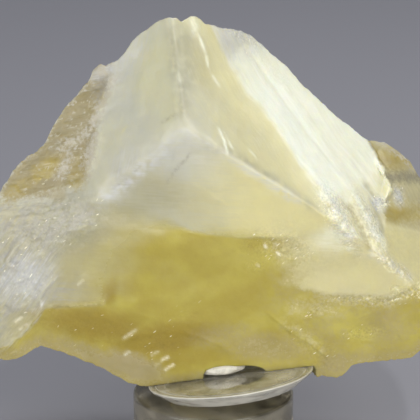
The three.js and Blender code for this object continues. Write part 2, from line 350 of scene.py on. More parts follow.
# Edges, ridges, cracks and glassy steps of the front, in millimetres. Each row is a line, its width,
# height and step, its zone, and that zone's share and width.
STROKES = strokes(
    # Rim of the left face and the groove beside it, both greyed with painted shade over the rim's
    # highlight, and the thin blade beside them.
    (((-8.5, 44), (-7.7, 37.2), (-7.6, 31.8), (-6.3, 27.7), (-6.1, 23.6), (-5.8, 18.3)), 0.6, 0.02, 0,
     Zone.GREY_AND_SHADE, 0.8, 1.6),
    (((-5.6, 42.5), (-5.4, 37), (-5.2, 31), (-5, 25)), 1.2, -0.08, 0, Zone.GREY_AND_SHADE, 0.45, 2.2),
    (((-4.2, 44.6), (-3.4, 42), (-2.6, 39)), 0.9, 0.15, 0, Zone.SATIN, 0.45, 1.2),
    (((-3.4, 42), (-2.1, 39.1), (-0.9, 35.2), (-0.4, 32.6), (0.1, 31)), 0.35, 0.12, 0.1, Zone.SATIN,
     0.6, 0.35),
    (((0.4, 31), (1.7, 29), (2.6, 27.8)), 0.3, 0.08, 0, Zone.SATIN, 0.4, 0.35),
    # Grooves between the blades of the wing.
    (((7, 38.6), (10.4, 34.9), (13.2, 30.6), (16, 26.8), (20, 21), (22.4, 17.8), (26.2, 13.6),
     (29.4, 9.1), (32, 6)), 0.8, -0.26, -0.15, Zone.BUTTER, 0.3, 0.9),
    (((14, 32), (19, 25), (23, 18.5), (27, 13)), 0.6, -0.07, 0.07, Zone.BUTTER, 0.15, 0.6),
    (((19, 13.5), (24, 8.5), (28, 3)), 0.5, 0.1, 0.15, Zone.BUTTER, 0.3, 0.5),
    (((22, 22), (27, 16.5), (33, 9.5), (37, 5)), 0.5, -0.07, 0.07, Zone.BUTTER, 0.15, 0.6),
    # Two crumbly bright ends of the wing, and the tan trough between them.
    (((22, 12), (26, 4.6), (28.8, 0), (31.2, -4), (34.4, -8.6)), 1.4, 0.3, 0, Zone.SATIN, 0.8, 1.8),
    (((29, 10), (33.4, 4.6), (36.4, -0.6), (38.8, -5.6), (41, -9.8)), 1.0, 0.4, 0, Zone.SATIN, 0.75,
     1.2),
    (((30, 4), (32.4, 0.5), (34.6, -3.4), (36.4, -7.1), (38.2, -10.8)), 1.0, -0.6, 0, Zone.GOLD, 0.65,
     1.1),
    (((36, 8), (38.4, 3), (39.6, -1.5), (41.4, -7)), 0.9, -0.6, 0, Zone.TAN, 0.85, 1.3),
    # Blades that end at the wing's right edge.
    (((34.5, 14.5), (38, 9.8), (42, 5)), 0.35, 0.08, 0.1, Zone.TAN, 0.35, 0.6),
    (((32.5, 13), (36.4, 8), (40.6, 2.4)), 0.4, -0.1, 0, Zone.TAN, 0.5, 0.5),
    (((36.6, 14.6), (39.4, 11), (42, 8)), 0.35, -0.08, 0, Zone.TAN, 0.35, 0.8),
    (((33.8, 8.6), (37, 4.4), (40, 0.4)), 0.35, 0.1, 0, Zone.SATIN, 0.7, 0.4),
    # Cracks and the milky line along the edge between the left and lower faces.
    (((-6, 17.7), (-7.6, 15), (-11, 11.9), (-15, 9.9), (-19, 6.2), (-23.7, 2.6), (-26.7, 0.7)), 0.8,
     0.04, 0, Zone.FROST, 0.85, 1.7),
    (((-15, 10.6), (-19, 7.1), (-23.4, 3.8)), 0.3, -0.05, 0, Zone.SMOKE, 0.2, 0.3),
    (((-6.3, 22.6), (-9, 20.8), (-11.4, 19.5)), 0.35, -0.05, 0, Zone.SMOKE, 0.3, 0.35),
    (((-3.9, 13.5), (-5.4, 11.7), (-8.1, 8.6), (-10.2, 5.5)), 0.25, -0.03, 0, Zone.SMOKE, 0.3, 0.3),
    (((-4.5, 6.6), (-0.9, 4.5), (3.7, 1.4), (4.8, 0.6)), 0.3, 0.04, 0, Zone.BRIGHT, 0.6, 0.35),
    (((5.8, -0.2), (8.5, -3.1)), 0.3, 0.04, 0, Zone.BRIGHT, 0.6, 0.35),
    (((-18.8, 19.4), (-21.3, 16.5), (-23.4, 14.1)), 0.25, 0.05, 0, Zone.CREAM, 0.8, 0.3),
    (((1.7, 18.8), (3.2, 15.6), (3.9, 13.2), (3.7, 11.8)), 0.3, 0.12, 0, Zone.SATIN, 0.9, 0.3),
    (((2.8, 18.4), (4.6, 15), (5.6, 13.2)), 0.25, 0.08, 0, Zone.SATIN, 0.6, 0.25),
    (((8.4, 14.6), (9.6, 12.9), (11, 11.3)), 0.25, 0.08, 0, Zone.SATIN, 0.5, 0.25),
    # The rounded upper side of the edge between the right and lower faces, greyed with painted shade over
    # its highlight.
    (((-5, 18.4), (-2.6, 15.6), (1, 13.9), (4.4, 13.2), (9, 10.4), (14.4, 6.9), (17.8, 4.5), (23, 1),
     (28, -2.6)), 0.6, 0, 0, Zone.GREY_AND_SHADE, 0.65, 1.0),
    # Left shoulder: the shelf ridge and the scalloped lower end of the white.
    (((-26.9, -3), (-34.3, -5.1), (-42, -9.3)), 0.8, 0.12, 0.12, Zone.CHALK, 0.7, 1.2),
    (((-34, -15), (-36.6, -16.8), (-38.2, -18.4), (-39.6, -20.8), (-39.2, -22.9), (-41, -26.2),
     (-46, -31), (-50, -34)), 0.4, 0.1, -0.4, Zone.FROST, 0.45, 0.4),
    (((-39.2, -22.4), (-32.5, -22.2), (-25.2, -21.9), (-23.8, -19.1)), 0.35, 0.1, 0.3, Zone.SHELL, 0.45,
     0.45),
    # Flank: white crusty lines.
    (((-26.4, 19.5), (-30, 16.8), (-34.5, 14.6), (-32.3, 12), (-36.1, 6.5)), 0.8, 0.15, 0, Zone.CRUST,
     0.85, 1.3),
    (((-21.4, 34.4), (-22.8, 30.5), (-25.6, 24.3), (-26.6, 19.9), (-26.8, 17.1), (-28.2, 11.3),
     (-28.1, 5.5)), 1.1, 0.12, 0, Zone.CRUST, 0.9, 1.5),
    (((-26.6, 33.6), (-24.4, 31.4), (-22.6, 29)), 0.8, 0.2, 0, Zone.CRUST, 0.9, 1.2),
    # The granular edge of the plate's pale end.
    (((36.6, -9), (40, -11.4), (43.6, -13.8), (48, -17)), 0.7, 0.1, 0, Zone.FROST, 0.55, 1.3),
    # Rays, and glints: cracks that catch the light, their glints painted as near-white highlights.
    (((32, -5.2), (29, -5.4), (25.6, -5.2)), 0.35, 0.05, 0, Zone.SATIN, 0.5, 0.45),
    (((33, -7), (30, -7.4), (26.4, -7.2)), 0.35, 0.05, 0, Zone.SATIN, 0.45, 0.5),
    (((34, -8.6), (31, -9.2), (27.6, -9.4)), 0.35, 0.05, 0, Zone.SATIN, 0.4, 0.4),
    (((-21, -30.6), (-18.6, -29), (-16.6, -27.6)), 0.25, 0.03, 0, Zone.GLINT, 0.45, 0.32),
    (((-13.2, -36.9), (-11.4, -35.6), (-9.4, -34.4)), 0.25, 0.05, 0, Zone.GLINT, 0.75, 0.36),
    (((-10.9, -38.2), (-9.6, -37.2), (-8.2, -36.3)), 0.25, 0.05, 0, Zone.GLINT, 0.8, 0.36),
    (((-14.2, -34.6), (-13, -33.8), (-11.6, -33.4)), 0.25, 0.05, 0, Zone.GLINT, 0.5, 0.32),
    (((12.5, -8), (12.9, -8.5), (13.3, -8.8)), 0.22, 0.05, 0, Zone.GLINT, 0.8, 0.32),
    (((14.6, -7.6), (15.2, -7.9), (15.8, -8)), 0.22, 0.05, 0, Zone.GLINT, 0.7, 0.32),
    (((15.2, -9.7), (15.7, -10), (16.4, -10.6)), 0.22, 0.05, 0, Zone.GLINT, 0.75, 0.32),
    (((10.7, -12.4), (11.1, -12.9), (11.7, -13)), 0.22, 0.05, 0, Zone.GLINT, 0.5, 0.34),
    (((-45, -28.2), (-43.8, -27.4), (-42.4, -26.6)), 0.25, 0.05, 0, Zone.GLINT, 0.7, 0.34),
    (((-46, -26.4), (-44.8, -25.8), (-43.8, -25)), 0.25, 0.05, 0, Zone.GLINT, 0.5, 0.32),
    (((-31, -17.6), (-30, -16.8), (-29, -16)), 0.25, 0.05, 0, Zone.GLINT, 0.35, 0.32),
    (((-20.4, -34.4), (-19.4, -33.8), (-18.6, -33.2)), 0.25, 0.05, 0, Zone.GLINT, 0.7, 0.34),
    (((-43.8, -14.6), (-42.2, -13), (-41.2, -11.6)), 0.3, 0.08, 0, Zone.FROST, 0.9, 0.45),
    (((-45.6, -17.4), (-43.4, -16), (-41.4, -15.2)), 0.3, 0.08, 0, Zone.FROST, 0.9, 0.4),
    # The nodule's frosted upper rim.
    (((37.2, 16.9), (40.5, 17), (44, 15.6), (46.4, 14), (49, 11.4), (51, 7.8)), 0.7, 0.05, 0,
     Zone.CRUST, 0.75, 1.7),
    # Honey front: healed fractures and the crumbly foot of the pale plate.
    (((-2, -4.6), (0, -6), (5, -8.8), (9.4, -11.6)), 0.4, 0.05, 0.05, Zone.LEMON, 0.5, 0.5),
    (((12, -23), (17, -27.4), (20.6, -30), (23.9, -32), (29, -36)), 0.7, 0.12, 0.3, Zone.LEMON, 0.7,
     1.2),
    (((16, -26), (21, -28.4), (25, -32), (27, -35)), 0.5, 0.08, 0.1, Zone.SHELL, 0.45, 1.0),
    (((22.6, -25), (24.7, -23.5), (26.7, -21.8)), 0.3, -0.15, 0, Zone.BRIGHT, 0.7, 0.35),
    (((-24, -33), (-17, -29.5), (-8, -28.5), (0, -31), (7, -35)), 0.7, 0.1, 0.15, Zone.TAN, 0.3, 0.9),
)

# Soft colour patches of the front: rows of x, u, half width, half height, share, turn and edge.
PATCHES = {
    Zone.HEART: ovals(
        (-12.4, 32.6, 5.2, 10.5, 1.0, 6, 1.3), (-9.6, 24, 3.2, 6, 0.8, 0, 1.3),
        (-11.5, 40, 5, 3, 0.6, 10, 1.3),
    ),
    Zone.TAN: ovals(
        (-2.2, 33.5, 2.2, 6.5, 0.4, 12, 1.3), (-14, 5, 8, 4.5, 0.6, -15, 1.6),
        (-6, 1.6, 8, 5, 0.25, -10, 1.4), (-22, -3, 9, 4.5, 0.95, 15, 1.4),
        (-30, -18, 12, 5, 0.7, 4, 1.2), (38.6, 8.5, 3.6, 6, 0.3, 0, 1.2),
    ),
    Zone.FROST: ovals(
        (-19, 36, 3.4, 8, 0.45, -35, 1.3), (-20, 10, 5, 4, 0.35, 30, 1.3),
        (-43.5, -16, 6, 5, 0.8, 30, 1.4), (-24.4, 32, 3, 1.8, 0.75, 25, 1.2),
        (39.8, 1.8, 2.4, 1.7, 0.75, -20, 1.4), (44.9, 3.4, 1.2, 2.4, 0.75, 10, 1.4),
        (30.5, -2.6, 2.2, 7, 0.3, 30, 1.4), (37.8, -3.4, 1.6, 7, 0.3, 26, 1.4),
    ),
    Zone.CREAM: ovals((-24, 13, 3, 7, 0.4, -20, 1.3), (-4.5, 2, 7, 4, 0.75, -10, 1.4)),
    Zone.GREY_AND_SHADE: ovals(
        (-16, 3, 8, 4, 0.35, -15, 1.6), (-16, 9.4, 8, 2.6, 0.3, 33, 1.4),
        (-31.5, -1.6, 7, 7, 0.6, -35, 1.4),
    ),
    Zone.AMBER: ovals(
        (-1, -9.2, 6.2, 3.6, 0.22, 5, 0.9), (-23.3, -19.6, 1.6, 3.2, 0.6, -10, 1.2),
        (-27, -26.6, 12, 4, 0.85, -8, 1.2), (-11, -30.4, 12, 3.8, 0.85, 8, 1.0),
        (13, -8, 7, 1.5, 0.3, 0, 1.2), (-6, -34.4, 10, 3.2, 0.5, 4, 1.2),
        (-34.7, 4.2, 1.6, 2.2, 0.45, 0, 1.4), (44.5, -0.9, 3.6, 1.6, 0.6, 0, 1.2),
    ),
    Zone.BRIGHT: ovals((25, -7.6, 6, 2.4, 0.8, -28, 1.2)),
    Zone.CHALK: ovals(
        (-31.5, -19.8, 9, 2.6, 0.5, 2, 1.0), (-19.5, -22, 4.4, 3.2, 0.4, 25, 1.6),
        (-18.5, -24.9, 1.6, 1.1, 0.8, 0, 1.8),
    ),
    Zone.VEIL: ovals(
        (-24, -36.2, 14, 2.4, 0.8, -24, 1.1), (-18, -37.2, 8, 3.2, 0.9, -20, 0.8),
        (13, -32.6, 10, 3.4, 0.65, -6, 1.2), (3, -29.4, 7, 2.6, 0.5, 8, 1.3),
        (41.5, -27, 4.4, 6.4, 0.5, 20, 1.6), (29.6, -36.4, 4, 2.8, 0.7, 20, 1.0),
        (-10, -14.5, 7, 2.2, 0.1, -25, 1.4),
    ),
    Zone.LEMON: ovals(
        (8, -9.5, 12, 4, 0.75, -12, 1.3), (22, -23.6, 3.4, 2, 0.8, 20, 1.3),
        (33, -26.5, 9, 4.6, 0.85, -8, 1.0), (24.5, -31, 3, 4.6, 0.6, 45, 1.2),
        (45.6, -25, 4, 3, 0.4, 20, 1.2), (37, -29.6, 1.8, 1.3, 0.9, 0, 1.0),
    ),
    Zone.SHELL: ovals(
        (26, -23, 5, 1.6, 0.35, -10, 1.3), (42.5, -12, 4, 3.4, 0.3, -10, 1.6),
        (20.6, -22.8, 2.4, 1.9, 0.4, 20, 1.6),
    ),
    Zone.HONEY: ovals((27.6, -9.4, 7, 1.7, 0.35, 24, 1.4)),
    Zone.GOLD: ovals(
        (-44.7, 4.6, 4.5, 2, 0.7, 35, 0.9), (-38, 9.6, 4.8, 2.2, 0.9, 35, 0.9),
        (-30.2, 8.6, 2.2, 3.8, 0.8, -12, 1.3), (-25.6, 25.4, 1.6, 3.4, 0.6, -35, 1.4),
    ),
    Zone.SMOKE: ovals((-25.4, 28, 1.6, 3, 0.5, -30, 1.4)),
    Zone.SATIN: ovals((8.4, 39.6, 5.4, 1.8, 0.35, -22, 1.4), (28.6, -6.6, 4.6, 3, 0.4, 20, 1.5)),
}

# Crumbled spots of the front, in rows of the same numbers.
CRUMBLED = ovals(
    (30, -2, 2.8, 8, 0.8, 30, 1.4), (37.5, -3, 2, 8, 0.75, 26, 1.4), (40, 1.8, 2.4, 1.8, 0.8, -20),
    (45, 3.4, 1.4, 2.6, 0.8, 10), (16, -8.4, 7, 3.4, 0.6, -10, 1.6), (15, -4, 5, 1.8, 0.15, 0, 1.4),
    (-26, -29, 14, 4, 0.22, -8, 1.6), (-12, -32, 6, 3.6, 0.3, 30, 1.4), (24, -32, 8, 3, 0.3, -40, 1.6),
    (36, -29, 4.5, 1.4, 0.6, 5, 1.4), (24.6, -23.4, 3, 0.8, 0.6, 40), (-7, -25.5, 7, 3, 0.14, 20, 1.6),
    (10.6, -12.8, 2.2, 1.6, 0.45, 0, 1.6), (13, 34, 9, 2.2, 0.15, -42), (8, 40.6, 6, 1.4, 0.5, -22),
    (43, -13.2, 6, 1.4, 0.7, -35), (-26.4, 24, 1.6, 9, 0.16, 12, 1.4), (-37, -4, 11, 6, 0.4, 20, 1.6),
    (-44, -16, 7, 9, 0.25, 0, 1.6), (-33, 7, 8, 3, 0.12, 30, 1.6),
)


# ---- the specimen's shape --------------------------------------------------------------------


@dataclass
class StoneForm:
    """The specimen's skin as formulas in its own frame, in millimetres."""

    lean_deg: float = 16.5
    origin: Size = (-0.8, -1.4, 60.4)
    left: float = -55.5
    right: float = 55.3
    crest: Line = (
        (-55.5, -16.5), (-55.1, -10), (-53.6, -4), (-50.4, 1.6), (-46.1, 8.9), (-43.1, 12.1),
        (-40, 13.9), (-38.3, 15.6), (-36.7, 19), (-34.4, 22.8), (-30.6, 27.1), (-28.3, 29.7),
        (-27.1, 32.4), (-26.2, 33.3), (-23.6, 33.7), (-21.2, 34.6), (-19.6, 36.2), (-18.4, 38.2),
        (-16.8, 40), (-14.2, 41.7), (-11.4, 43.4), (-9.6, 43.9), (-7.7, 43.9), (-6.6, 42.9),
        (-4.6, 44.4), (-3.4, 44.4), (-2.3, 43.9), (-1.1, 42.7), (0.5, 42.6), (1.8, 42.1),
        (4.6, 42), (7, 41.8), (9.3, 41), (12.2, 38.6), (15.2, 36.1), (18.3, 33.6), (21.2, 30.1),
        (24.1, 27.6), (29.8, 22.3), (33.3, 20), (35.7, 17.9), (37.7, 16.7), (38.8, 16.7),
        (42.1, 16.4), (44.1, 15.2), (46.4, 13.5), (48.4, 11.6), (50.8, 7.7), (54, 0.5),
        (55.1, -6), (55.3, -13.5),
    )
    foot: Line = (
        (-55.5, -16.5), (-54.9, -24), (-53.4, -31), (-50, -35.2), (-47.6, -35.5), (-45.2, -35),
        (-42.3, -33.3), (-39.9, -31.9), (-36.8, -32.8), (-33.3, -34), (-29.8, -35.5),
        (-27.4, -36.5), (-25.1, -37.5), (-22.7, -39), (-19.2, -41), (-16.1, -41.8),
        (-14.4, -42), (4, -41), (24.2, -40), (26.9, -39.4), (30.1, -39.9), (31.5, -39.4),
        (32.7, -38.2), (33.6, -36.9), (36, -36.3), (40.7, -35.8), (47.4, -35.2), (48.4, -34.5),
        (50.2, -33), (52.6, -29.5), (54.6, -22), (55.3, -13.5),
    )
    corner_place: Place = (-5.8, 18.6)
    corner_height: float = 20.0
    left_slope: Place = (0.73, -0.27)
    right_slope: Place = (-0.64, -0.42)
    lower_slope: Place = (-0.03, 0.59)
    twin_left: Line = ((18.6, -5.8), (26.5, -6.3), (31.8, -7.3), (37.1, -7.9), (43.2, -8.4))
    twin_right: Line = ((29.6, 1.8), (31.6, 0), (35.3, -1.1), (40.5, -2.3), (44.2, -3.9))
    wing_edge: Line = ((-3, -0.35), (5, -1.7), (12, -1.8), (17.5, -0.9), (23, 0), (33, 0), (40, 1.4))
    nodule_edge: Line = (
        (-15, 43.5), (-11, 41.4), (-3, 41), (2.4, 42), (6, 43), (9.5, 41.5), (13.1, 39.4), (16.7, 37.7)
    )
    ledge: Line = ((-30, -1), (-10.3, -2.8), (-4.8, -4.6), (0.3, -5.8), (7, -6.5), (60, -6.5))
    plate_left: Line = ((-60, 22), (-20, 20), (-15, 21), (-9, 18), (-6.5, 18), (10, 30))
    honey_left: Line = (
        (-42, -50), (-24, -38), (-21, -27), (-18, -25), (-15, -25), (-9, -23.5), (-3.4, -15), (2, -3)
    )
    shoulder_line: Line = (
        (-60, -22), (-42.5, -11.4), (-39.8, -9.1), (-33.6, -5.2), (-26.8, -3.4), (-24.3, 1.8), (-19.8, 6.1)
    )
    plate_foot: Line = ((16, -17), (22, -18.6), (28, -19.9), (42.5, -20.5), (49, -17.2))
    flank_face: Face = Face((-27, 19.6), 4.5, (0.3, -0.12))
    shoulder_face: Face = Face((-26, -8), 7.6, (0.33, 0.25))
    back_faces: tuple[Face, ...] = (
        Face((0, 0), -30, (0.06, 0.35)), Face((-7, 44), 1, (-0.64, 1)),
        Face((-7, 44), 1, (0.06, 1)), Face((0, -42), -22, (0, -0.9)),
    )
    wing_top: Place = (3.6, 38.5)
    wing_way: Place = (0.855, 0.518)
    wing_slope: float = 0.3
    wing_step: float = 2.4
    shoulder_way: Place = (0.8, 0.6)
    nodule_centre: Place = (46, 8)
    nodule_radii: Place = (8, 9)
    nodule_height: float = 4
    twin_valley: float = 0.55
    honey_slope: float = 0.43
    plate_relief: float = 0.3
    thinnest: float = 5
    end_power: float = 3.5
    rim_power: float = 3

    def face(self, slope: Place) -> Face:
        """One of the three faces that meet at the front corner."""
        return Face(self.corner_place, self.corner_height, slope)

    def wing_frame(self, x: Array, u: Array) -> tuple[Array, Array]:
        """Turns places to the wing's own frame; its left edge wanders and has a few notches.

        Args:
            x: Places across.
            u: Places up the front.

        Returns:
            Distance past the wing's left edge, and distance down along it.
        """
        off_x, off_u = x - self.wing_top[0], u - self.wing_top[1]
        cosine, sine = self.wing_way
        past, down = off_x * cosine + off_u * sine, off_x * sine - off_u * cosine
        past = past - along(self.wing_edge, down)
        notches = 0.3 * rough(down / 7, past / 9, 25, 4, 0.6) + 0.12 * blades(down, past, 5.2, 27)
        return past - notches * bell(past - 0.5, 2.5) * (1 - 0.6 * rise(down - 30, 14)), down

    def past_wing(self, x: Array, u: Array) -> Array:
        """Distance past the wing's broken right edge, where its blades end in ragged steps.

        Args:
            x: Places across.
            u: Places up the front.

        Returns:
            The distance in millimetres, above 0 on the nodule.
        """
        across = x * self.wing_way[0] + u * self.wing_way[1]
        steps = 1.1 * blades(across, u, 2.3, 28) - 0.5 + 0.35 * rough(x / 2.5, u / 2.5, 29, 3)
        return x - along(self.nodule_edge, u) - steps * rise(u + 2, 3) * rise(15 - u, 5)

    def shoulder_frame(self, x: Array, u: Array) -> tuple[Array, Array]:
        """Distance square to the streaks of the left shoulder, and along them."""
        cosine, sine = self.shoulder_way
        return x * cosine - u * sine, x * sine + u * cosine

    def crumbs(self, x: Array, u: Array) -> Array:
        """How crumbled a place is: at the wing's ends, the plate's foot and scattered spots.

        Args:
            x: Places across.
            u: Places up the front.

        Returns:
            Values from 0 to 1.
        """
        foot = along(self.plate_foot, x)
        band = bell(u - foot + 0.9, 0.7 + 0.6 * rise(x - 30, 14)) * rise(x - 27, 12)
        band = 0.8 * np.maximum(band, bell(u + 19.3, 1.8) * rise(x - 42, 2))
        return np.max([band, *(spot.tint(x, u) for spot in CRUMBLED)], axis=0)

    def upper(self, x: Array, u: Array) -> Array:
        """Height of the faces above the front corner: left face, flank, right face and wing.

        The flank joins the left face by a smooth maximum, and the wing cuts the two by a smooth
        minimum. The nodule behind the wing is an oval cap, 1 - distance^2 from its centre.

        Args:
            x: Places across.
            u: Places up the front.

        Returns:
            h at each place.
        """
        left_face = self.face(self.left_slope).at(x, u) + 0.05 * rough(x / 12, u / 18, 13, 2)
        flank = self.flank_face.at(x, u) + 0.35 * rough(x / 7, u / 5, 11, 4)
        flank = flank + 0.14 * facets(x / 3.4, u / 1.8, 17) + 0.1 * blades(u - 0.15 * x, x, 2.6, 19)
        left = -lesser(-left_face, -flank, 2.6)

        past, down = self.wing_frame(x, u)
        right_face = self.face(self.right_slope).at(x, u) + 0.05 * rough(past / 4, down / 22, 22, 3)
        on_wing = rise(past, 1.5)
        fibres = 0.03 * rough(past / 1.5, down / 24, 23, 3, 0.6)
        wing = right_face - self.wing_slope * np.maximum(past, 0) + 0.12 * on_wing
        wing = wing + on_wing * (0.045 * blades(past, down, 3.1, 21) + fibres)
        beyond = self.past_wing(x, u)
        (middle_x, middle_u), (wide, tall) = self.nodule_centre, self.nodule_radii
        away = np.hypot((x - middle_x) / wide, (u - middle_u) / tall)
        cap = self.nodule_height * np.maximum(0, 1 - away**2) * rise(beyond + 1, 2)
        wing = wing - self.wing_step * (rise(beyond, 0.9) * rise(u - 1, 5)) + cap

        low, high = along(self.twin_left, u), along(self.twin_right, u)
        between = (2 * x - low - high) / np.maximum(high - low, 1)
        valley = self.twin_valley * np.maximum(0, 1 - between**2) * rise(u - 34, 14)
        return lesser(left, wing, 2.4) - valley

    def lower(self, x: Array, u: Array) -> Array:
        """Height of the faces below the front corner: milky face, ledge, honey front, shoulder.

        Args:
            x: Places across.
            u: Places up the front.

        Returns:
            h at each place.
        """
        milky = self.face(self.lower_slope).at(x, u)
        crease = (x + 4.6) * 0.6 + (u - 6.6) * 0.8
        milky = milky - 0.07 * np.maximum(-crease, 0) + 0.04 * rough(x / 9, u / 4, 35, 3)
        ledge = along(self.ledge, x)
        drop = 0.35 * rise(x + 8, 12) * (1 - rise(x - 17, 12))
        honey = self.face(self.lower_slope).at(x, ledge) + self.honey_slope * (u - ledge) - drop
        honey = honey + 0.4 * rough(x / 16, u / 12, 31, 2)
        ragged = rise(-u - 20 + 4 * noise(x / 9, u / 9, 39), 8)
        honey = honey + ragged * (0.06 * facets(x / 6, u / 3.4, 37) + 0.06 * rough(x / 5, u / 4, 33, 3))
        below = mix(honey, milky, rise(u - ledge, 0.7 + 6 * rise(-x - 8, 8) + 5 * rise(x - 21, 6)))
        across, length = self.shoulder_frame(x, u)
        shoulder = self.shoulder_face.at(x, u) + 0.2 * rough(across / 3.4, length / 10, 41, 4, 0.6)
        shoulder = shoulder + 0.1 * rough(across / 1.3, length / 5, 45, 2)
        shoulder = shoulder + 0.14 * facets(across / 2.6, length / 6.5, 47)
        shoulder = shoulder + 0.1 * rough(x / 6, u / 5, 43, 3)
        return lesser(below, shoulder, 4) + self.plate_relief * self.plate(x, u)

    def plate(self, x: Array, u: Array) -> Array:
        """How far inside the pale plate at the lower right a place is.

        Args:
            x: Places across.
            u: Places up the front.

        Returns:
            Values from 0 to 1.
        """
        ragged = 0.5 * rough(x / 3, u / 3, 61, 3)
        inside = rise(x - along(self.plate_left, u) + 2 * ragged, 14)
        return inside * rise(u - along(self.plate_foot, x) + ragged, 2)

    def front(self, x: Array, u: Array) -> Array:
        """The front skin, its marks included: the smooth minimum of the upper and lower faces.

        Args:
            x: Places across.
            u: Places up the front.

        Returns:
            h at each place.
        """
        warp_x, warp_u = self.wandered(x, u)
        upper, lower = self.upper(warp_x, warp_u), self.lower(warp_x, warp_u)
        gap = upper - lower
        on_edge = rise(x - 2, 8) * rise(34 - x, 16)
        trench = 0.14 * np.exp(-np.maximum(-gap, 0) / 0.6) * on_edge
        bead = 0.03 * bell(gap - 0.6, 0.8) * rise(x - 6, 6) * rise(20 - x, 8)
        soft = 2.2 * (1 + 0.5 * noise(x / 4, u / 4, 69))
        h = lesser(upper - trench, lower + bead, mix(soft, 0.3, on_edge))
        for stroke in STROKES:
            h = h + stroke.relief(*stroke.distance(warp_x, warp_u))
        crumbled = self.crumbs(warp_x, warp_u)
        h = h + crumbled * (0.25 * facets(x / 1.2, u / 1.2, 65) + 0.22 * facets(x / 2.6, u / 2.0, 67))
        return h

    def wandered(self, x: Array, u: Array) -> tuple[Array, Array]:
        """Places moved by noise of about 0.15 mm, so that no edge is ruler-straight."""
        return x + 0.15 * rough(x / 3.4, u / 3.4, 1, 2), u + 0.15 * rough(x / 3.4, u / 3.4, 5, 2)

    def back(self, x: Array, foot: Array, crest: Array, climb: Array) -> Array:
        """The back skin: flat faces, rounded over at the rim by (1 - |2 climb - 1|^3)^(1/3).

        Args:
            x: Places across.
            foot: The outline's lower height at x.
            crest: The outline's upper height at x.
            climb: Share of the way from foot to crest.

        Returns:
            The h of the back at each place.
        """
        u = mix(foot, crest, climb)
        rim = mix(self.front(x, foot + 0 * climb), self.front(x, crest + 0 * climb), climb)
        face = np.max([each.at(x, u) for each in self.back_faces], axis=0)
        face = face + 0.8 + 0.5 * rough(x / 9, u / 12, 51, 4) + 0.7 * facets(x / 9, u / 15, 57)
        face = face + 0.35 * blades(x * 0.9 + u * 0.4, u, 6.5, 53) + 0.2 * facets(x / 2.6, u / 4, 59)
        across = np.abs((x - self.left) / (self.right - self.left) * 2 - 1)
        ends = np.maximum(1 - across**self.end_power, 0) ** (1 / self.end_power)
        arch = np.maximum(1 - np.abs(2 * climb - 1) ** self.rim_power, 0) ** (1 / self.rim_power)
        return rim - np.maximum(rim - face, self.thinnest) * ends * arch

    def placed(self, x: Array, u: Array, h: Array) -> Array:
        """Turns the specimen's own (x, u, h) into X, Y and Z, all in millimetres.

        For its lean and origin: X = x + X0, Y = u sin - h cos + Y0 and Z = u cos + h sin + Z0.

        Args:
            x: Places across.
            u: Places up the front.
            h: Places out of the front.

        Returns:
            An array whose last axis is X, Y, Z.
        """
        sine, cosine = math.sin(math.radians(self.lean_deg)), math.cos(math.radians(self.lean_deg))
        return np.stack([x, u * sine - h * cosine, u * cosine + h * sine], axis=-1) + np.array(self.origin)


# ---- colours and node helpers ----------------------------------------------------------------


def linear(hex_colour: str) -> tuple[float, float, float, float]:
    """Turns an sRGB hex colour into linear light: ((v + 0.055) / 1.055)^2.4, or v / 12.92 if dark.

    Args:
        hex_colour: Such as "#d8d2a0".

    Returns:
        Red, green, blue and full alpha.
    """
    values = [int(hex_colour[i : i + 2], 16) / 255 for i in (1, 3, 5)]
    light = [v / 12.92 if v <= 0.04045 else ((v + 0.055) / 1.055) ** 2.4 for v in values]
    return (*light, 1.0)


def add_node(tree: Tree, kind: str, sockets: Sockets | None = None, **settings: object) -> bpy.types.Node:
    """Adds a shader node with its settings, input values and links.

    Args:
        tree: The material's or world's node tree.
        kind: The node's type name, less its "ShaderNode" start.
        sockets: Input name or number to a value, an output socket, or a node for its first output.
        **settings: The node's own properties.

    Returns:
        The new node.
    """
    made = tree.nodes.new("ShaderNode" + kind)
    for name, value in settings.items():
        setattr(made, name, value)
    for name, value in (sockets or {}).items():
        if isinstance(value, bpy.types.Node):
            value = value.outputs[0]
        if isinstance(value, bpy.types.NodeSocket):
            tree.links.new(value, made.inputs[name])
        else:
            made.inputs[name].default_value = value
    return made


def per_mm(size: float) -> float:
    """Texture scale, in cells per metre, that draws cells of the given size in millimetres."""
    return 1 / (size * MM)


def coat(piece: Piece, name: str, surface: Callable[[Tree], Sockets]) -> None:
    """Gives a piece a new material.

    Args:
        piece: The piece.
        name: The material's name.
        surface: Draws the material in its tree and returns its shader's sockets.
    """
    material = bpy.data.materials.new(name)
    material.use_nodes = True
    tree = material.node_tree
    tree.nodes.clear()
    shader = add_node(tree, "BsdfPrincipled", surface(tree))
    add_node(tree, "OutputMaterial", {"Surface": shader})
    piece.data.materials.append(material)


# ---- meshes ----------------------------------------------------------------------------------


def grid_faces(rows: int, columns: int) -> Array:
    """Quads of a grid of points numbered row by row, the last point of a row joined to its first.

    Args:
        rows: Number of rows of points.
        columns: Number of points in each row.

    Returns:
        An (n, 4) array of point numbers.
    """
    row, column = np.meshgrid(np.arange(rows - 1), np.arange(columns), indexing="ij")
    right = (column + 1) % columns
    here, above = row * columns, (row + 1) * columns
    return np.stack([here + column, here + right, above + right, above + column], axis=-1).reshape(-1, 4)


def mesh_object(name: str, points: Array, faces: list[list[int]]) -> Piece:
    """Makes a smooth-shaded mesh object at the origin.

    Args:
        name: The object's name.
        points: (n, 3) points in metres.
        faces: Lists of point numbers, anticlockwise from outside.

    Returns:
        The new object, linked into the scene.
    """
    mesh = bpy.data.meshes.new(name)
    mesh.from_pydata(points.tolist(), [], faces)
    mesh.validate()
    mesh.polygons.foreach_set("use_smooth", np.ones(len(mesh.polygons), dtype=bool))
    mesh.update()
    made = bpy.data.objects.new(name, mesh)
    bpy.context.scene.collection.objects.link(made)
    return made


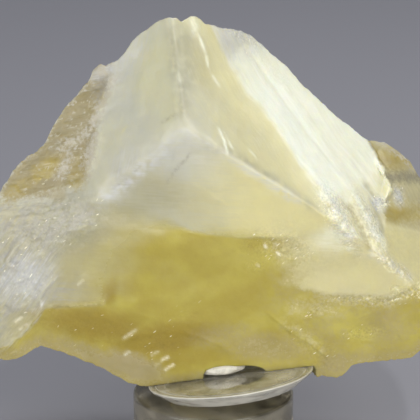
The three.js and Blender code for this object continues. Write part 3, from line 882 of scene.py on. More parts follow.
def ringed_object(name: str, rings: Array, first: Array, last: Array) -> Piece:
    """Makes a closed mesh of rings of points, with one point closing each end.

    Args:
        name: The object's name.
        rings: (rings, points, 3) in metres, each ring anticlockwise seen from the last end.
        first: The point that closes the first ring.
        last: The point that closes the last ring.

    Returns:
        The new object.
    """
    count, around = rings.shape[:2]
    points = np.concatenate([rings.reshape(-1, 3), [first, last]])
    here = np.arange(around)
    after = (here + 1) % around
    low, high, top = count * around, count * around + 1, (count - 1) * around
    caps = np.stack([here * 0 + low, after, here], axis=-1).tolist()
    caps += np.stack([here * 0 + high, top + here, top + after], axis=-1).tolist()
    return mesh_object(name, points, grid_faces(count, around).tolist() + caps)


def eased(corners: Line, radius: float, steps: int = 4) -> Line:
    """Rounds the inner corners of a profile with small curves.

    Each corner P is replaced by the curve (1-t)^2 A + 2t(1-t) P + t^2 B, where A and B lie on the
    two sides next to it, a radius away or less.

    Args:
        corners: The profile's corners.
        radius: Size of the rounding.
        steps: Number of steps in each curve.

    Returns:
        The rounded profile.
    """
    points = np.array(corners)
    share = np.linspace(0, 1, steps + 1)[:, None]
    made = [points[:1]]
    for before, corner, after in zip(points, points[1:], points[2:]):
        start = corner + (before - corner) * min(1, radius / np.hypot(*(before - corner))) * 0.999
        end = corner + (after - corner) * min(1, radius / np.hypot(*(after - corner))) * 0.999
        made.append((1 - share) ** 2 * start + 2 * share * (1 - share) * corner + share**2 * end)
    made.append(points[-1:])
    return tuple(map(tuple, np.concatenate(made)))


# ---- the stand and the putty -----------------------------------------------------------------


@dataclass(frozen=True)
class AcrylicFinish:
    """How one part of the clear stand looks: its tint, and its haze where it is least and most."""

    name: str
    colour: str
    clear: Place
    gloss: Place

    def surface(self, tree: Tree) -> Sockets:
        """Cast acrylic, handled: clear, with pale smears of wiping, finger marks and scuffed edges.

        Args:
            tree: The material's tree.

        Returns:
            The shader's sockets.
        """
        place = add_node(tree, "TexCoord").outputs["Object"]
        # Wiping smears about 2 mm wide and 12 mm long.
        wiping = {"Vector": place, "Scale": (1 / 12, 1 / 12, 1 / 2), "Rotation": (0, 0.12, 0)}
        wiped = add_node(tree, "Mapping", wiping)
        smearing = {"Vector": wiped, "Scale": per_mm(1), "Detail": 2.0, "Distortion": 0.3}
        smear = add_node(tree, "TexNoise", smearing)
        # Soft finger marks about 4 mm across.
        cloud = add_node(tree, "TexNoise", {"Vector": place, "Scale": per_mm(4), "Detail": 1.0})
        both = add_node(tree, "Math", {0: smear, 1: cloud}, operation="ADD")
        scuffed = add_node(tree, "Attribute", attribute_name="scuffed").outputs["Fac"]
        worn = add_node(tree, "Math", {0: scuffed, 1: 0.6, 2: both}, operation="MULTIPLY_ADD")
        spread = {"Value": worn, "From Min": 0.85, "From Max": 1.45}
        clear, gloss = (
            add_node(tree, "MapRange", {**spread, "To Min": least, "To Max": most})
            for least, most in (self.clear, self.gloss)
        )
        relief = add_node(tree, "Bump", {"Height": cloud, "Strength": 0.4, "Distance": 0.08 * MM})
        return {
            "Base Color": linear(self.colour),
            "Roughness": gloss,
            "IOR": 1.49,
            "Transmission Weight": clear,
            "Normal": relief,
        }


# The dish is handled most and is hazy with fine scratches; the riser is clearer.
DISH_FINISH = AcrylicFinish("cast_acrylic_scratched", "#fbf8ec", (0.9, 0.42), (0.03, 0.18))
# The riser's tan tint is painted: it stands in for the dark surroundings seen through the clear riser.
RISER_FINISH = AcrylicFinish("cast_acrylic_wiped", "#cbc4ae", (0.93, 0.66), (0.02, 0.12))


# A height in millimetres that is above everything.
UNLIMITED = 99.0


@dataclass
class Stand:
    """The clear stand: a thin round dish lying at a slant on an upright round riser."""

    riser_radius: float = 19.2
    riser_height: float = 15
    riser_bevel: float = 0.6
    neck_radius: float = 5.5
    neck_x: float = 1.8
    neck_rings: int = 60
    riser_flat: float = 18
    dish_radius: float = 19.7
    dish_foot_radius: float = 16
    dish_thickness: float = 3.2
    dish_bevel: float = 0.25
    dish_lip: float = 0.5
    dish_groove: float = 0.25
    groove_places: tuple[float, ...] = (1.2, 1.6, 2, 3)
    scuff_width: float = 0.32
    side_haze: float = 0.6
    top_haze: float = 0.6
    dish_centre: Size = (4.1, -3, 19.8)
    side_deg: float = 7
    front_deg: float = 7.5
    gap: float = 0.3
    segments: int = 192
    smallest_ring: float = 0.2
    side_rings: int = 7
    flat_rings: tuple[float, float, int] = (0.15, 0.96, 10)
    bevel_steps: int = 6

    def tilt(self) -> Array:
        """The turn from flat to the dish's slant.

        Returns:
            A 3 x 3 matrix that turns the right side up, then the front.
        """
        side = Matrix.Rotation(-math.radians(self.side_deg), 3, "Y")
        front = Matrix.Rotation(-math.radians(self.front_deg), 3, "X")
        return np.array(front @ side)

    def on_dish(self, points: Array) -> Array:
        """Moves points made flat on the dish's top, centred on its axis, to where the dish lies."""
        return points @ self.tilt().T + np.array(self.dish_centre)

    def off_dish(self, points: Array) -> Array:
        """The reverse of on_dish: places measured from the middle of the dish's top."""
        return (points - np.array(self.dish_centre)) @ self.tilt()

    def turned(self) -> tuple[Array, Array]:
        """Cosine and sine of the turn of every point of a ring."""
        turn = np.linspace(0, 2 * math.pi, self.segments, endpoint=False)
        return np.cos(turn), np.sin(turn)

    def dish(self) -> Piece:
        """Turns the dish's profile: its side flares to a thin rim, and a groove runs inside that.

        Returns:
            The dish's object.
        """
        foot, rim, under = self.dish_foot_radius, self.dish_radius, -self.dish_thickness
        lip, groove = self.dish_lip, self.dish_groove
        outer, deepest, inner, flat = (rim - inward for inward in self.groove_places)
        top = ((rim, 0), (outer, 0), (deepest, -groove), (inner, 0), (flat, 0))
        side = np.linspace((foot, under), (rim, -lip), self.side_rings)
        corners = ((0, under), *map(tuple, side), *top)
        profile = np.array(eased(corners, self.dish_bevel, self.bevel_steps))[1:]
        shares = np.linspace(*self.flat_rings)
        low = np.stack([foot * shares, under + 0 * shares], axis=-1)
        high = np.stack([flat * shares[::-1], 0 * shares], axis=-1)
        profile = np.concatenate([low, profile, high])
        radius, height = profile[:, :1], profile[:, 1:]
        cosine, sine = self.turned()
        rings = np.stack([radius * cosine, radius * sine, height + 0 * cosine], axis=-1)
        ends = self.on_dish(np.array([[0, 0, under], [0, 0, 0.0]])) * MM
        made = ringed_object("stand_dish_clear", self.on_dish(rings) * MM, *ends)
        rubbed = self.side_haze * ((profile[:, 0] > foot) & (profile[:, 1] < -lip))
        self.scuff(made, profile, ((rim, 0), (deepest, -groove), (foot, under)), rubbed)
        return made

    def scuff(self, piece: Piece, profile: Array, edges: Line, rubbed: Array) -> None:
        """Marks how scuffed each ring of a turned piece is: a bell around each of its edges.

        Args:
            piece: The turned piece, one ring of points for each point of its profile.
            profile: The radius and height of each ring.
            edges: The radius and height of each edge that handling has worn.
            rubbed: How hazy each ring is anyway, from fingers or from what rests on it.
        """
        nearest = np.min([np.hypot(*(profile - edge).T) for edge in np.array(edges)], axis=0)
        worn = np.maximum(bell(nearest, self.scuff_width), rubbed)
        share = np.repeat(worn, self.segments)
        layer = piece.data.attributes.new("scuffed", "FLOAT", "POINT")
        layer.data.foreach_set("value", np.concatenate([share, [0, 0]]).astype(np.float32))

    def under_dish(self, x: Array, y: Array) -> Array:
        """Height just clear of the dish above (x, y), and no limit beyond its edge.

        Under the foot it is the dish's underside less the gap; outside the foot it climbs with the
        flared side, by (thickness - lip) / (rim - foot) for each millimetre out.

        Args:
            x: Places across.
            y: Places from front to back.

        Returns:
            The height at each place.
        """
        normal = self.tilt() @ np.array([0, 0, 1.0])
        low = np.array(self.dish_centre) - normal * (self.dish_thickness + self.gap)
        height = low[2] - ((x - low[0]) * normal[0] + (y - low[1]) * normal[1]) / normal[2]
        flat = self.off_dish(np.stack([x, y, height], axis=-1))
        out = np.hypot(flat[..., 0], flat[..., 1]) - self.gap
        flare = (self.dish_thickness - self.dish_lip) / (self.dish_radius - self.dish_foot_radius)
        height = height + flare * np.maximum(0, out - self.dish_foot_radius)
        return np.where(out < self.dish_radius, height, UNLIMITED)

    def riser(self) -> Piece:
        """Turns the riser and its neck, cut clear of the dish.

        Each ring's centre slides from the neck's axis to the riser's as the ring grows, and every
        height is the lesser of the profile's and the dish's underside.

        Returns:
            The riser's object.
        """
        wide, top, neck = self.riser_radius, self.riser_height, self.neck_radius
        corners = ((self.smallest_ring, 0), (wide, 0), (wide, top), (self.riser_flat, top))
        side = eased(corners, 1.5 * self.riser_bevel, self.bevel_steps)
        inward = np.linspace(self.riser_flat - 0.1, neck + 0.1, self.neck_rings)
        rise_up = [(neck * share, UNLIMITED) for share in (1, 0.6, 0.2)]
        profile = np.concatenate([side, np.stack([inward, top + 0 * inward], axis=-1), rise_up])
        radius, height = profile[:, :1], profile[:, 1:]
        cosine, sine = self.turned()
        slide = self.neck_x * (1 - rise(radius - (neck + wide) / 2, wide - neck - 2))
        # Only the rings of the riser's top and of the neck slide, and only they can meet the dish.
        slide = np.where(height < 0.99 * top, 0, slide)
        x, y = slide + radius * cosine, radius * sine
        limit = np.where(height < 0.5 * top, UNLIMITED, self.under_dish(x, y))
        z = np.minimum(height + 0 * cosine, limit)
        neck_top = float(self.under_dish(np.array(self.neck_x), np.array(0.0)))
        ends = np.array([[0, 0, 0], [self.neck_x, 0, neck_top]])
        made = ringed_object("stand_riser_clear", np.stack([x, y, z], axis=-1) * MM, *(ends * MM))
        rubbed = self.top_haze * (np.abs(profile[:, 1] - top) < 0.01)
        self.scuff(made, profile, ((wide, top), (wide, 0)), rubbed)
        return made

    def make(self) -> None:
        """Builds the dish and the riser."""
        parts = ((self.dish(), DISH_FINISH, "stand_dish"), (self.riser(), RISER_FINISH, "stand_riser"))
        for piece, finish, node in parts:
            coat(piece, finish.name, finish.surface)
            take_place(piece, node)


@dataclass
class Putty:
    """The lump of white mineral tack between the specimen and the dish."""

    stand: Stand
    radii: Size = (5.6, 4.4, 1.4)
    place: Place = (-1.7, 2)
    squareness: Place = (0.7, 0.8)
    dents: float = 0.1
    pole: float = 0.93
    rows: int = 48
    segments: int = 96

    def build(self) -> Piece:
        """A squashed lump: a ball squared off by powers of its sine and cosine, thumbed in.

        Its radius is 1 - 0.1 (1 + noise) / 2, so it stays inside its radii.

        Returns:
            The putty's object.
        """
        polar = np.linspace(0, math.pi, self.rows + 2)[1:-1][:, None]
        turn = np.linspace(0, 2 * math.pi, self.segments, endpoint=False)[None, :]
        out = np.sin(polar) ** self.squareness[0]
        high = -np.sign(np.cos(polar)) * np.abs(np.cos(polar)) ** self.squareness[1]
        x, y, z = out * np.cos(turn), out * np.sin(turn), high + 0 * turn
        dent = 0.5 + 0.5 * np.clip(rough(x * 1.7 + z, y * 1.7 - z, 111, 4, 0.55), -1, 1)
        size = 1 - self.dents * dent
        ball = np.stack([x, y, z], axis=-1) * size[..., None] * np.array(self.radii)
        lift = np.array([*self.place, self.radii[2] + self.stand.gap])
        poles = np.array([[0, 0, -self.pole], [0, 0, self.pole]]) * np.array(self.radii)
        ends = self.stand.on_dish(poles + lift) * MM
        return ringed_object("mineral_tack_lump", self.stand.on_dish(ball + lift) * MM, *ends)

    def surface(self, tree: Tree) -> Sockets:
        """Synthetic rubber putty, kneaded by hand: matte off-white with greyer thumb marks.

        Args:
            tree: The material's tree.

        Returns:
            The shader's sockets.
        """
        place = add_node(tree, "TexCoord").outputs["Object"]
        # Thumb marks about 2.5 mm across.
        thumbed = {"Vector": place, "Scale": per_mm(2.5), "Detail": 5.0, "Roughness": 0.65}
        smudge = add_node(tree, "TexNoise", thumbed)
        share = add_node(tree, "MapRange", {"Value": smudge, "From Min": 0.45, "From Max": 0.7})
        shades = {"Color1": linear("#dedbd0"), "Color2": linear("#aaa699")}
        return {
            "Base Color": add_node(tree, "MixRGB", {"Fac": share, **shades}),
            "Roughness": 0.75,
            "Normal": add_node(tree, "Bump", {"Height": smudge, "Strength": 0.6, "Distance": 0.25 * MM}),
        }

    def make(self) -> None:
        """Builds and dresses the putty."""
        piece = self.build()
        coat(piece, "putty_kneaded", self.surface)
        take_place(piece, "mineral_tack")


def take_place(piece: Piece, node: str) -> None:
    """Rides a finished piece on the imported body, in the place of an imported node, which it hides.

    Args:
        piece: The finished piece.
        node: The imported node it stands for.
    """
    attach(piece, BODY)
    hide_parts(node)
    LOG.info("%s: %d faces", piece.name, len(piece.data.polygons))


# ---- the calcite -----------------------------------------------------------------------------


@dataclass(frozen=True)
class ZoneFinish:
    """How one kind of calcite in the specimen looks, where its zone is 1.

    Where a zone gives way to the next, its edge is broken up by fine grain: by threads that follow
    the stone's fibres where it is combed, and by crumbs elsewhere.
    """

    colour: str
    cloud_colour: str
    roughness: float
    broken: float = 0.2
    combed: bool = False


# The body of the specimen: milky calcite, cloudy with tiny fluid inclusions.
MILKY = ZoneFinish("#c6c5b0", "#c0c0b0", 0.36)

# The other kinds, each laid over those before it.
FINISHES = {
    Zone.CREAM: ZoneFinish("#cfcaa0", "#cac6a2", 0.36, 0.2, True),
    Zone.BRIGHT: ZoneFinish("#e0dbb2", "#dad6b0", 0.34, 0.2, True),
    Zone.BUTTER: ZoneFinish("#dcd59f", "#d6cf9c", 0.34, 0.25, True),
    Zone.HEART: ZoneFinish("#ccc9a6", "#c9c8aa", 0.36),
    Zone.TAN: ZoneFinish("#b2ac82", "#ada681", 0.34, 0.2, True),
    # A grey; along the lit edges it is painted shade.
    Zone.GREY_AND_SHADE: ZoneFinish("#a3a18a", "#9e9d88", 0.36, 0.1, True),
    Zone.CHALK: ZoneFinish("#b4b1a1", "#a7a495", 0.5, 0.8, True),
    Zone.HONEY: ZoneFinish("#b4a84f", "#ad9f4a", 0.22, 0.03),
    Zone.LEMON: ZoneFinish("#c3b962", "#b9ae5c", 0.22, 0.05),
    Zone.AMBER: ZoneFinish("#9c8835", "#948036", 0.2, 0.05),
    Zone.VEIL: ZoneFinish("#aca07c", "#a1966c", 0.3, 0.3),
    Zone.FLANK: ZoneFinish("#948a64", "#9f946e", 0.42, 0.8),
    Zone.GOLD: ZoneFinish("#a8994f", "#a2935a", 0.35, 0.5),
    Zone.SHELL: ZoneFinish("#d2cb98", "#cec79b", 0.32, 0.4),
    Zone.SATIN: ZoneFinish("#f0f3e6", "#ebefe0", 0.36, 0.15, True),
    Zone.FROST: ZoneFinish("#cacbc7", "#bcbdb9", 0.5, 0.45, True),
    Zone.CRUST: ZoneFinish("#c3bfaf", "#b4af9e", 0.55, 1.0),
    # Painted highlights: near-white where cracks catch the light.
    Zone.GLINT: ZoneFinish("#fbf8e6", "#f2ecd0", 0.15),
    Zone.SMOKE: ZoneFinish("#8f8a76", "#837e6c", 0.4, 0.5),
}


@dataclass
class Calcite:
    """The specimen: one piece of angel wing calcite."""

    stand: Stand
    putty: Putty
    form: StoneForm = field(default_factory=StoneForm)
    columns: int = 340
    front_rows: int = 200
    back_rows: int = 90
    hollow_radii: Size = (8, 6.5, 3)
    hollow_place: Place = (1.6, 3)
    clearance: float = 0.08
    back_crumbled: float = 0.15
    crest_jag: float = 0.22
    foot_jag: float = 0.2
    crowding: float = 0.25
    shelf: Line = (
        (-50, -33), (-47, -31.5), (-42.6, -27.6), (-39.6, -23.5), (-36.4, -22.7), (-25, -22.5),
        (-22, -18),
    )
    patterns: tuple[tuple[float, ...], ...] = (
        (7, 5, 0.36, 0.66), (0.8, 4, 0.36, 0.64), (0.5, 2, 0.35, 0.65), (0.7, 3, 0.2, 0.8),
    )

    def skin(self) -> tuple[Array, Array, Array, Array]:
        """The skin's grid: columns from right to left, each a ring up the front and down the back.

        Returns:
            x, u and h of every point, and a mask of the points on the front.
        """
        share = np.linspace(0, 1, self.columns + 1)
        crowded = mix(share, (1 - np.cos(math.pi * share)) / 2, self.crowding)
        x = mix(self.form.right, self.form.left, crowded)[:, None]
        inside = rise(1 - np.abs(2 * share[:, None] - 1) - 0.05, 0.1)
        jagged = self.crest_jag * inside * rough(x / 1.9, 0 * x, 3, 3, 0.6)
        frosted = rise(x - 3, 3) * (1 - rise(x - 15, 4))
        crest = along(self.form.crest, x) + jagged * (1 + rise(-x - 20, 8) + frosted)
        foot = along(self.form.foot, x)
        foot = foot + self.foot_jag * inside * rough(x / 1.7, 0 * x + 9, 7, 3, 0.6)
        up = np.linspace(0, 1, self.front_rows + 1)[None, :]
        down = (1 + np.cos(math.pi * np.linspace(0, 1, self.back_rows + 1)[1:-1]))[None, :] / 2
        front_h = self.form.front(x + 0 * up, mix(foot, crest, up))
        back_h = self.form.back(x + 0 * down, foot, crest, down)
        climb = np.concatenate([up + 0 * x, down + 0 * x], axis=1)
        h = np.concatenate([front_h, back_h], axis=1)
        on_front = np.broadcast_to(np.arange(climb.shape[1]) <= self.front_rows, climb.shape)
        return x + 0 * climb, mix(foot, crest, climb), h, on_front

    def seated(self, points: Array) -> Array:
        """Lifts the underside clear of the dish, with a hollow over the putty.

        Measured from the dish's top, each place's height is at least the gap, the hollow's
        c sqrt(1 - x^2/a^2 - y^2/b^2), or the putty's top and the gap.

        Args:
            points: Places in millimetres.

        Returns:
            The places, lifted.
        """
        flat = self.stand.off_dish(points)
        gap = self.stand.gap
        floor = np.full(flat.shape[:-1], self.clearance)

        def dome(radii: Size, place: Place, margin: float, base: float) -> Array:
            """Top of an oval dome that stands on a base.

            Args:
                radii: The dome's half widths and its height.
                place: Its middle.
                margin: How much larger it is every way.
                base: Height it stands on.

            Returns:
                The height at each place, 0 outside the dome.
            """
            wide, deep, high = (r + margin for r in radii)
            left = 1 - ((flat[..., 0] - place[0]) / wide) ** 2 - ((flat[..., 1] - place[1]) / deep) ** 2
            return np.where(left > 0, base + high * np.sqrt(np.maximum(left, 0)), 0)

        floor = np.maximum(floor, dome(self.hollow_radii, self.hollow_place, 0, 0))
        putty = self.putty
        floor = np.maximum(floor, dome(putty.radii, putty.place, self.clearance, putty.radii[2] + gap))
        over = np.hypot(flat[..., 0], flat[..., 1]) < self.stand.dish_radius + 1.3 * gap
        flat[..., 2] = np.where(over, np.maximum(flat[..., 2], floor), flat[..., 2])
        return self.stand.on_dish(flat)

    def zones(self, x: Array, u: Array, on_front: Array) -> Shares:
        """Where each kind of calcite lies, as shares from 0 to 1.

        Args:
            x: Places across.
            u: Places up the front.
            on_front: Whether a place is on the front skin.

        Returns:
            Each zone's share at each place.
        """
        form = self.form
        wander = rough(x / 8, u / 8, 71, 4)
        fine = rough(x / 2.2, u / 2.2, 75, 3)
        x, u = form.wandered(x, u)
        shares = self.front_zones(x, u, wander, fine)
        for zone, patches in PATCHES.items():
            tints = (patch.tint(x + 0.6 * wander, u + 0.5 * fine) for patch in patches)
            shares[zone] = np.max([shares[zone], *tints], axis=0)
        for stroke in STROKES:
            if stroke.zone:
                tint = stroke.tint(*stroke.distance(x, u)) * (0.8 + 0.8 * fine).clip(0, 1)
                shares[stroke.zone] = np.maximum(shares[stroke.zone], tint)
        # Round the rim the front's zones carry over, and fade into those of the back.
        inward = np.minimum(along(form.crest, x) - u, u - along(form.foot, x))
        behind = self.back_zones(x, u)
        over = np.maximum(on_front.astype(float), rise(3 + 2 * wander - inward, 5))
        return {zone: mix(behind.get(zone, 0), share, over) for zone, share in shares.items()}

    def front_zones(self, x: Array, u: Array, wander: Array, fine: Array) -> Shares:
        """Where each kind of calcite lies on the front, before its patches and strokes.

        Each share is a product of smooth steps, 1 where the place is well inside its bounds.

        Args:
            x: Places across.
            u: Places up the front.
            wander: Coarse noise that moves the bounds of the zones.
            fine: Finer noise that frays them.

        Returns:
            Each zone's share at each place.
        """
        form = self.form
        # The lower faces show where the upper ones lie above them; the ledge ends the milky face.
        past, down = form.wing_frame(x, u)
        gap = form.upper(x, u) - form.lower(x, u)
        lower = rise(gap - 0.1, 0.5)
        right = (1 - lower) * rise(x + 5.8 + 0.1 * (u - 18), 3)
        ledge = along(form.ledge, x)
        above_ledge = rise(u - ledge, 0.7 + 7 * rise(-x - 8, 8) + 4 * rise(x - 21, 6))
        plate = form.plate(x, u) * lower

        # The right face beside the wing, and the milky lower face.
        cream = right * rise(x + 0.5 + 0.35 * (u - 24), 13)
        bright = right * rise(past + 3.2 + wander, 6) * rise(31 - u, 22)
        butter = lower * above_ledge * rise(x - 1 + wander, 22)
        bright = np.maximum(bright, lower * above_ledge * 0.85 * rise(x - 20 + 0.8 * wander, 18))

        # The honey front, its rim, and the pale plate at its right.
        honey = lower * (1 - above_ledge) * rise(x - along(form.honey_left, u) + 2 * wander, 22)
        below_shelf = rise(along(self.shelf, x) - u + 0.5 * fine, 0.9) * rise(-u - 19, 3)
        honey = np.maximum(honey, 0.95 * lower * below_shelf)
        above_foot = u - along(form.foot, x) + 0.8 * wander
        rim = rise(2.6 - above_foot, 3) * lower
        tan = 0.5 * rim
        veil = 0.6 * rim
        drift = rough((x + 0.5 * u) / 15, (u - 0.5 * x) / 7, 101, 2)
        pale = plate * rise(u + 12, 10)
        crumb_band = bell(u - along(form.plate_foot, x) + 0.7, 1.5) * rise(x - 27, 12) * lower

        # The flank with its crusts, and the streaky left shoulder.
        flank = (1 - lower) * rise(-(x + 25.8 - 0.22 * (u - 20)) + 1.0 * wander + 0.4 * fine, 1.8)
        flank = flank * rise(u - 2.0 - 0.25 * (x + 50) + 2 * wander + 0.5 * fine, 3)
        layers = rough(x / 6, (u - 0.15 * x) / 1.3, 83, 4, 0.6)
        powder = rough(x / 1.5, u / 1.0, 81, 4, 0.75)
        crust = 0.8 * flank * rise(powder + 0.5 * layers - 0.7, 0.5) * rise(x + 40 + 6 * wander, 16)
        crust = np.maximum(crust, 0.6 * flank * bell(along(form.crest, x) - u, 0.9) * rise(fine + 0.4, 0.8))
        past_ridge = rise(u - along(form.shoulder_line, x) + 0.5 * wander, 3) * rise(-x - 22 + wander, 6)
        shoulder = np.maximum(past_ridge, rise(-x - 38.5 + 0.2 * (u + 20) + wander, 11))
        shoulder = (1 - flank) * shoulder * rise(2 - u, 6) * (1 - honey)
        across, length = form.shoulder_frame(x, u)
        streak = rough(across / 2.0, length / 10, 85, 4, 0.6)
        threaded = rough(across / 0.9, length / 5, 86, 3, 0.6)
        chalk = shoulder * (0.25 + 0.7 * rise(0.6 * streak + 0.8 * threaded, 0.8))
        tan = np.maximum(tan, 0.7 * shoulder)
        film = lower * (1 - above_ledge) * (1 - shoulder) * (1 - honey)
        tan = np.maximum(tan, film)
        chalk = np.maximum(chalk, 0.7 * shoulder * rise(threaded - 0.35, 0.3))

        # The satin wing, the frost beside it, and the nodule behind it.
        satin = right * rise(past + 0.3 * fine, 2.0) * rise(down - 2.5 + fine, 4)
        threads = rough(past / 1.8, down / 30, 87, 3, 0.6)
        satin = satin * (1 - 0.08 * rise(threads - 0.15, 0.5))
        satin = satin * (1 - 0.2 * rise(past - 8.5 + 0.15 * (down - 20), 8))
        satin = satin * mix(0.75, 1, rise(down - 12, 12)) * (1 - 0.75 * rise(down - 45 + 2 * fine, 9))
        satin = satin * (1 - rise(down - 57 + fine, 6))
        frost = right * 0.75 * rise(past + 0.5, 1.5) * (1 - rise(down - 4 + fine, 9))
        band = bell(gap - 0.9, 1.1 + 0.6 * wander) * rise(x - 1, 5) * rise(20 - x, 6)
        band = band * rise(1.2 + 2 * fine, 1.5)
        frost = np.maximum(frost, 0.4 * band)
        satin = np.maximum(satin, 0.4 * band * rise(x - 8, 8))
        frost = np.maximum(frost, 0.4 * lower * rise(u - 10 + 0.8 * wander, 10) * rise(4 - x, 10))
        nodule = rise(form.past_wing(x, u), 0.9) * (1 - lower)
        upper_nodule = nodule * rise(u + 3.4 + 0.25 * (x - 41) + 0.6 * wander, 2.5)
        golden = np.maximum(0.55 * upper_nodule * bell(u + 1, 3.0), upper_nodule * bell(u - 12.6, 3.6))
        pale_end = nodule * rise(-u - 3.4 - 0.25 * (x - 41) - 0.6 * wander, 2.5)
        satin = satin * (1 - nodule)

        # The heart, the grey with its painted shade and the painted glints come from patches and strokes
        # alone.
        return {
            Zone.CREAM: cream,
            Zone.BRIGHT: bright,
            Zone.BUTTER: butter,
            Zone.HEART: 0 * x,
            Zone.GREY_AND_SHADE: 0 * x,
            Zone.CHALK: chalk,
            Zone.TAN: np.max([tan, 0.7 * upper_nodule, 0.8 * pale_end], axis=0),
            Zone.HONEY: honey * (1 - 0.9 * plate),
            Zone.LEMON: honey * np.maximum(0.35 * rise(x - 16, 14), 0.4 * rise(drift - 0.2, 0.8)),
            Zone.AMBER: 0.15 * honey * rise(-drift - 0.2, 0.8),
            Zone.VEIL: np.maximum(veil, 0.3 * honey * rise(x - 14, 14) * rise(fine + wander, 1.0)),
            Zone.FLANK: flank,
            Zone.GOLD: golden,
            Zone.SHELL: np.max([plate * (1 - 0.5 * pale), 0.75 * pale_end, 0.5 * crumb_band], axis=0),
            Zone.SATIN: satin,
            Zone.FROST: frost,
            Zone.CRUST: np.maximum(crust, 0.12 * crumb_band),
            Zone.GLINT: 0 * x,
            Zone.SMOKE: 0.8 * upper_nodule * bell(u - 7.9 + 0.5 * wander, 1.5),
        }

    def back_zones(self, x: Array, u: Array) -> Shares:
        """Where each kind of calcite lies on the back, in soft slanting streaks.

        Args:
            x: Places across.
            u: Places up the front.

        Returns:
            The share of each zone that is found there.
        """
        bands = rough((x + 0.4 * u) / 13, (u - 0.4 * x) / 34, 95, 4)
        clouds = rough(x / 18 + 7, u / 14, 91, 3)
        streaks = rough((x + 0.5 * u) / 2.4, (u - 0.5 * x) / 16, 99, 4, 0.6)
        low = rise(-u - 4 + 6 * clouds, 26)
        return {
            Zone.CREAM: rise(clouds, 0.8),
            Zone.TAN: 0.4 * rise(bands + 0.3 * streaks, 0.9),
            Zone.HONEY: low * mix(0.45, 0.9, rise(bands, 0.8)),
            Zone.AMBER: 0.4 * low * rise(-clouds - 0.1, 0.5),
            Zone.SATIN: 0.35 * (1 - low) * rise(-bands + 0.4 * streaks - 0.15, 0.8),
            Zone.CHALK: 0.25 * rise(streaks - 0.25, 0.5),
        }

    def grain(self, x: Array, u: Array, h: Array, on_front: Array) -> tuple[Array, Array]:
        """Coordinates that follow the stone's fibres, and how fibrous it is.

        Args:
            x: Places across.
            u: Places up the front.
            h: Places out of the front.
            on_front: Whether a place is on the front skin.

        Returns:
            (..., 3) across the fibres, along them and through them in millimetres, and a share
            that fades to nothing wherever the fibres change direction.
        """
        form = self.form
        gap = form.upper(x, u) - form.lower(x, u)
        past, down = form.wing_frame(x, u)
        across, length = form.shoulder_frame(x, u)
        first, second = past, down
        amount = mix(0.1, 0.13, rise(past, 2)) * rise(-gap - 0.8, 1.6)
        amount = amount * (1 - 0.85 * rise(form.past_wing(x, u) + 0.5, 2))

        # Left face, flank, lower faces, left shoulder and back: where each is, the distances across
        # and along its fibres, and how fibrous it is. Each takes over where it is above one half.
        turns = (
            (rise(-x - 5.8 - 0.1 * (u - 18), 4), x - 0.2 * u, u, 0.06),
            (rise(-x - 26 + 0.22 * (u - 20), 3), u - 0.15 * x, x, 0.25),
            (rise(gap, 2), u + 0.06 * x, x, 0.04),
            (rise(gap, 2) * rise(-x - 33 + 0.3 * (u + 8), 8), across, length, 0.6),
            (1 - on_front.astype(float), x * 0.9 + u * 0.4, u * 0.9 - x * 0.4, 0.7),
        )
        for inside, one, other, share in turns:
            where = inside > 0.5
            first, second = np.where(where, one, first), np.where(where, other, second)
            fading = amount * np.clip(1 - 2 * inside, 0, 1)
            amount = np.where(where, share * np.clip(2 * inside - 1, 0, 1), fading)
        return np.stack([first, second, h], axis=-1), amount

    def build(self) -> Piece:
        """Builds the specimen's mesh with point attributes for its zones and its grain.

        Returns:
            The specimen's object.
        """
        x, u, h, on_front = self.skin()
        points = self.seated(self.form.placed(x, u, h)) * MM
        made = ringed_object("calcite_specimen", points[1:-1], points[0, 0], points[-1, 0])
        place, amount = self.grain(x, u, h, on_front)

        def on_points(values: Array) -> Array:
            """Puts values of the grid in the order of the mesh's points."""
            return np.concatenate([values[1:-1].reshape(-1, *values.shape[2:]), values[[0, -1], 0]])

        crumbled = np.where(on_front, self.form.crumbs(*self.form.wandered(x, u)), self.back_crumbled)
        zones = {zone.value: share for zone, share in self.zones(x, u, on_front).items()}
        for name, share in {**zones, "fibrous": amount, "crumbled": crumbled}.items():
            layer = made.data.attributes.new(name, "FLOAT", "POINT")
            layer.data.foreach_set("value", on_points(share).astype(np.float32))
        layer = made.data.attributes.new("grain", "FLOAT_VECTOR", "POINT")
        layer.data.foreach_set("vector", on_points(place).astype(np.float32).ravel())
        return made

    def surface(self, tree: Tree) -> Sockets:
        """Natural calcite, cleaved: light sinks in and glows, and edges and fibres catch it.

        Args:
            tree: The material's tree.

        Returns:
            The shader's sockets.
        """
        place = add_node(tree, "TexCoord").outputs["Object"]
        middle = (0.5, 0.5, 0.5)

        # Clouds about 7 mm across, and crumbs, grit and pits that are finer: the size and detail of
        # each, and the range of the noise that is spread from 0 to 1.
        patterns = []
        for size, detail, low, high in self.patterns:
            cells = {"Vector": place, "Scale": per_mm(size), "Detail": detail, "Roughness": 0.6}
            spread = {"Value": add_node(tree, "TexNoise", cells), "From Min": low, "From Max": high}
            patterns.append(add_node(tree, "MapRange", spread))
        clouds, crumbs, grit, pits = patterns
        shades = {"Color1": linear(MILKY.colour), "Color2": linear(MILKY.cloud_colour)}
        colour, roughness = add_node(tree, "MixRGB", {"Fac": clouds, **shades}), MILKY.roughness
        grain = add_node(tree, "Attribute", attribute_name="grain").outputs["Vector"]
        # Threads about 0.4 mm apart and 5 mm long.
        drawn_along = add_node(tree, "Mapping", {"Vector": grain, "Scale": (1 / 0.4, 1 / 5, 1 / 2)})
        threads = add_node(tree, "TexNoise", {"Vector": drawn_along, "Scale": 1.0, "Detail": 3.0})
        thread = add_node(tree, "MapRange", {"Value": threads, "From Min": 0.36, "From Max": 0.64})
        threaded, crumbly, gritty = (
            add_node(tree, "Math", {0: pattern, 1: 0.5}, operation="SUBTRACT")
            for pattern in (thread, crumbs, grit)
        )
